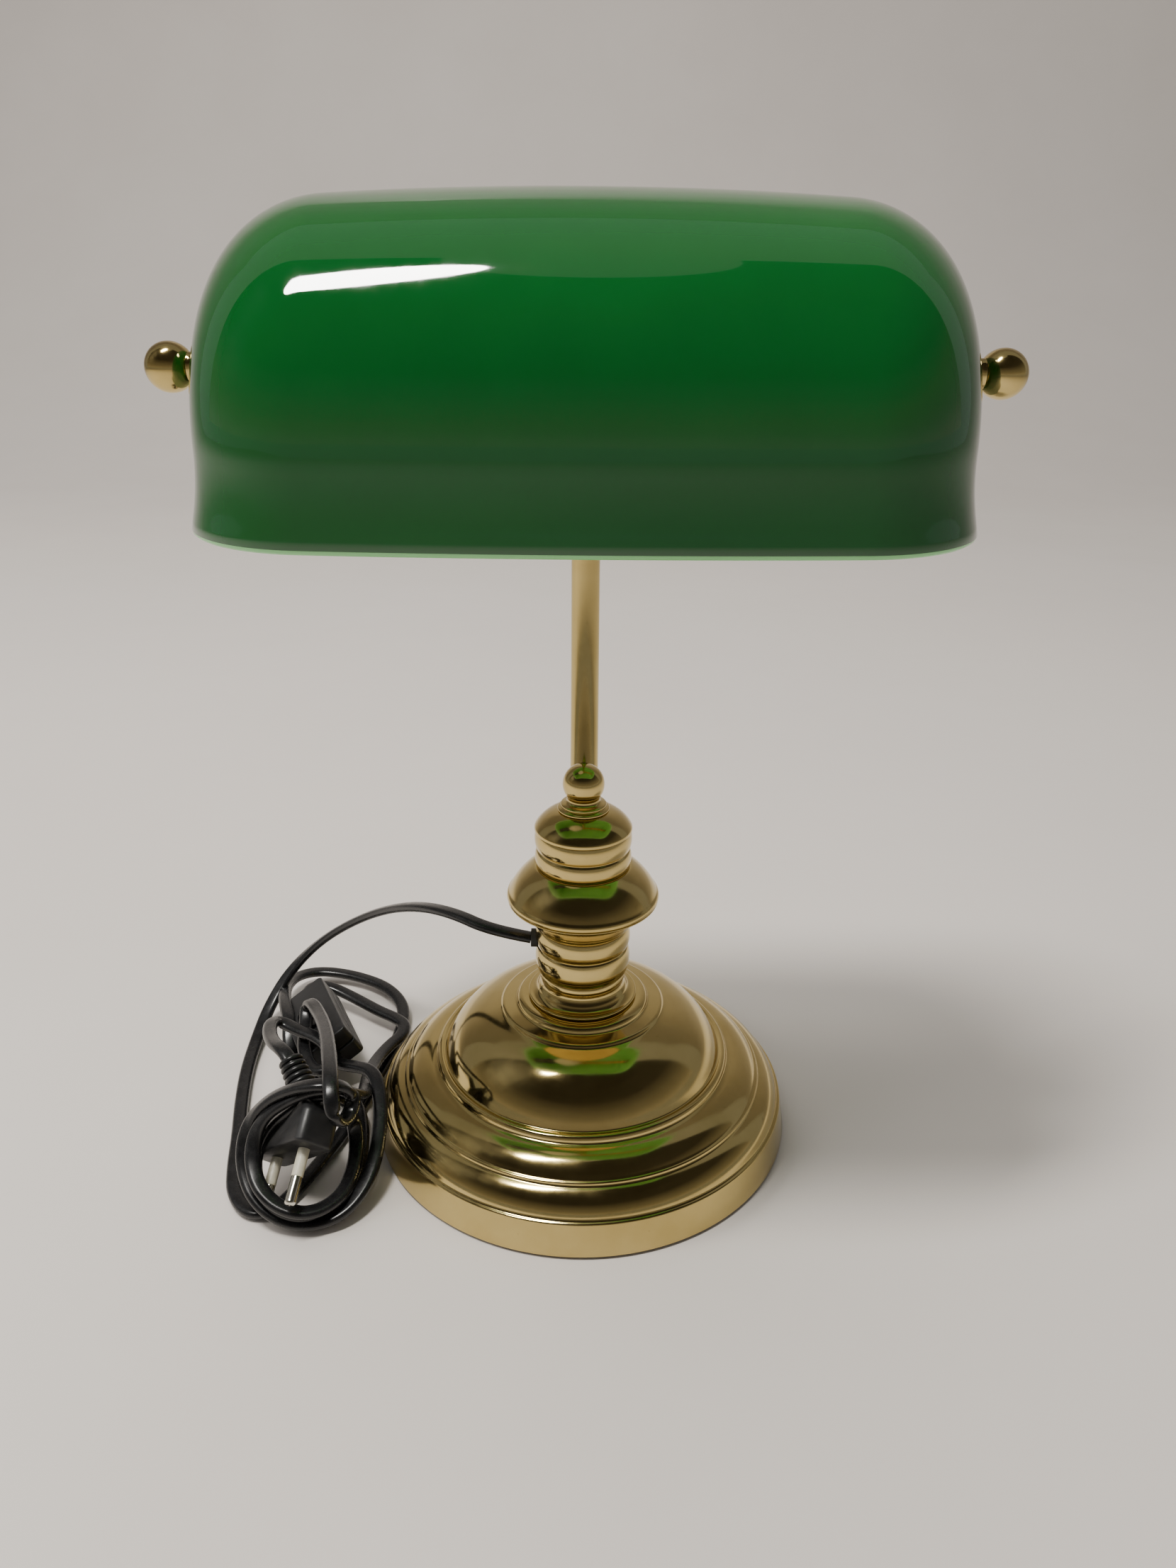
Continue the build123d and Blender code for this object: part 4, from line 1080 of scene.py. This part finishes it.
# floor that curves up into a backdrop far behind
def floorMesh():
    back, bend, steps, side = (backdrop[k] for k in ("back", "bend", "bendSteps", "halfWidth"))
    mesh = bpy.data.meshes.new("floor")
    rows = [(backdrop["front"], 0.0), (back, 0.0)]
    for k in range(1, steps + 1):
        a = math.radians(90 * k / steps)
        rows.append((back + bend * math.sin(a), bend * (1 - math.cos(a))))
    rows.append((back + bend, backdrop["top"]))
    verts = [(x, y, z) for y, z in rows for x in (-side, side)]
    faces = [(2 * k, 2 * k + 1, 2 * k + 3, 2 * k + 2) for k in range(len(rows) - 1)]
    mesh.from_pydata(verts, [], faces)
    for polygon in mesh.polygons:
        polygon.use_smooth = True
    return mesh


paleFloor = plainMaterial("paleFloor", (0.64, 0.595, 0.555), (0.60, 0.555, 0.515),
                          rough=0.65, scale=3, bump=0.1, depth=0.0003)
floor = meshPiece("floor", floorMesh(), paleFloor, None)

sky = {"Color": (0.80, 0.79, 0.77, 1), "Strength": 0.34}
world = bpy.data.worlds.new("studio")
world.use_nodes = True
for socket, value in sky.items():
    world.node_tree.nodes["Background"].inputs[socket].default_value = value
bpy.context.scene.world = world

cloth = {
    "radius": 1.9, "foot": 0.15, "height": 2.0,
    "rows": 8, "firstRow": 4, "rowStep": 9.5,      # degrees up
    "columns": 24, "start": 170, "sweep": 200,      # degrees round
    "toneHeight": 1.5, "rough": 0.9,
    # painted light and shade of the room: pale near the floor, nearly black above
    "tones": [(0.05, (0.55, 0.52, 0.48)), (0.35, (0.22, 0.21, 0.19)), (0.85, (0.035, 0.033, 0.030))],
}


# upright dark half round that closes over the top, round the viewer's side of the lamp; a sheet of painted shade
# standing in for the unlit room
def clothMesh():
    wide = cloth["columns"] + 1
    verts = []
    for row in range(cloth["rows"] + 1):
        up = math.radians(cloth["firstRow"] + cloth["rowStep"] * row)
        reach, height = cloth["radius"] * math.cos(up), cloth["foot"] + cloth["height"] * math.sin(up)
        for k in range(wide):
            around = math.radians(cloth["start"] + cloth["sweep"] * k / cloth["columns"])
            verts.append((reach * math.cos(around), reach * math.sin(around), height))
    starts = [wide * row + k for row in range(cloth["rows"]) for k in range(cloth["columns"])]
    mesh = bpy.data.meshes.new("paintedShadeCloth")
    mesh.from_pydata(verts, [], [(s, s + 1, s + wide + 1, s + wide) for s in starts])
    return mesh


# colour darker with height: painted fall-off of light away from the floor
def clothMaterial():
    material, tree, shader, place = newMaterial("paintedRoomShade")
    split = tree.nodes.new("ShaderNodeSeparateXYZ")
    tree.links.new(place, split.inputs[0])
    height = tree.nodes.new("ShaderNodeMapRange")
    height.inputs["From Max"].default_value = cloth["toneHeight"]
    tree.links.new(split.outputs["Z"], height.inputs["Value"])
    tree.links.new(rampNode(tree, height.outputs["Result"], cloth["tones"]), shader.inputs["Base Color"])
    shader.inputs["Roughness"].default_value = cloth["rough"]
    return material


# painted room shade: only the polished surfaces see this cloth
paintedShadeCloth = meshPiece("paintedShadeCloth", clothMesh(), clothMaterial(), None)
paintedShadeCloth.visible_camera = False
paintedShadeCloth.visible_diffuse = False
paintedShadeCloth.visible_shadow = False
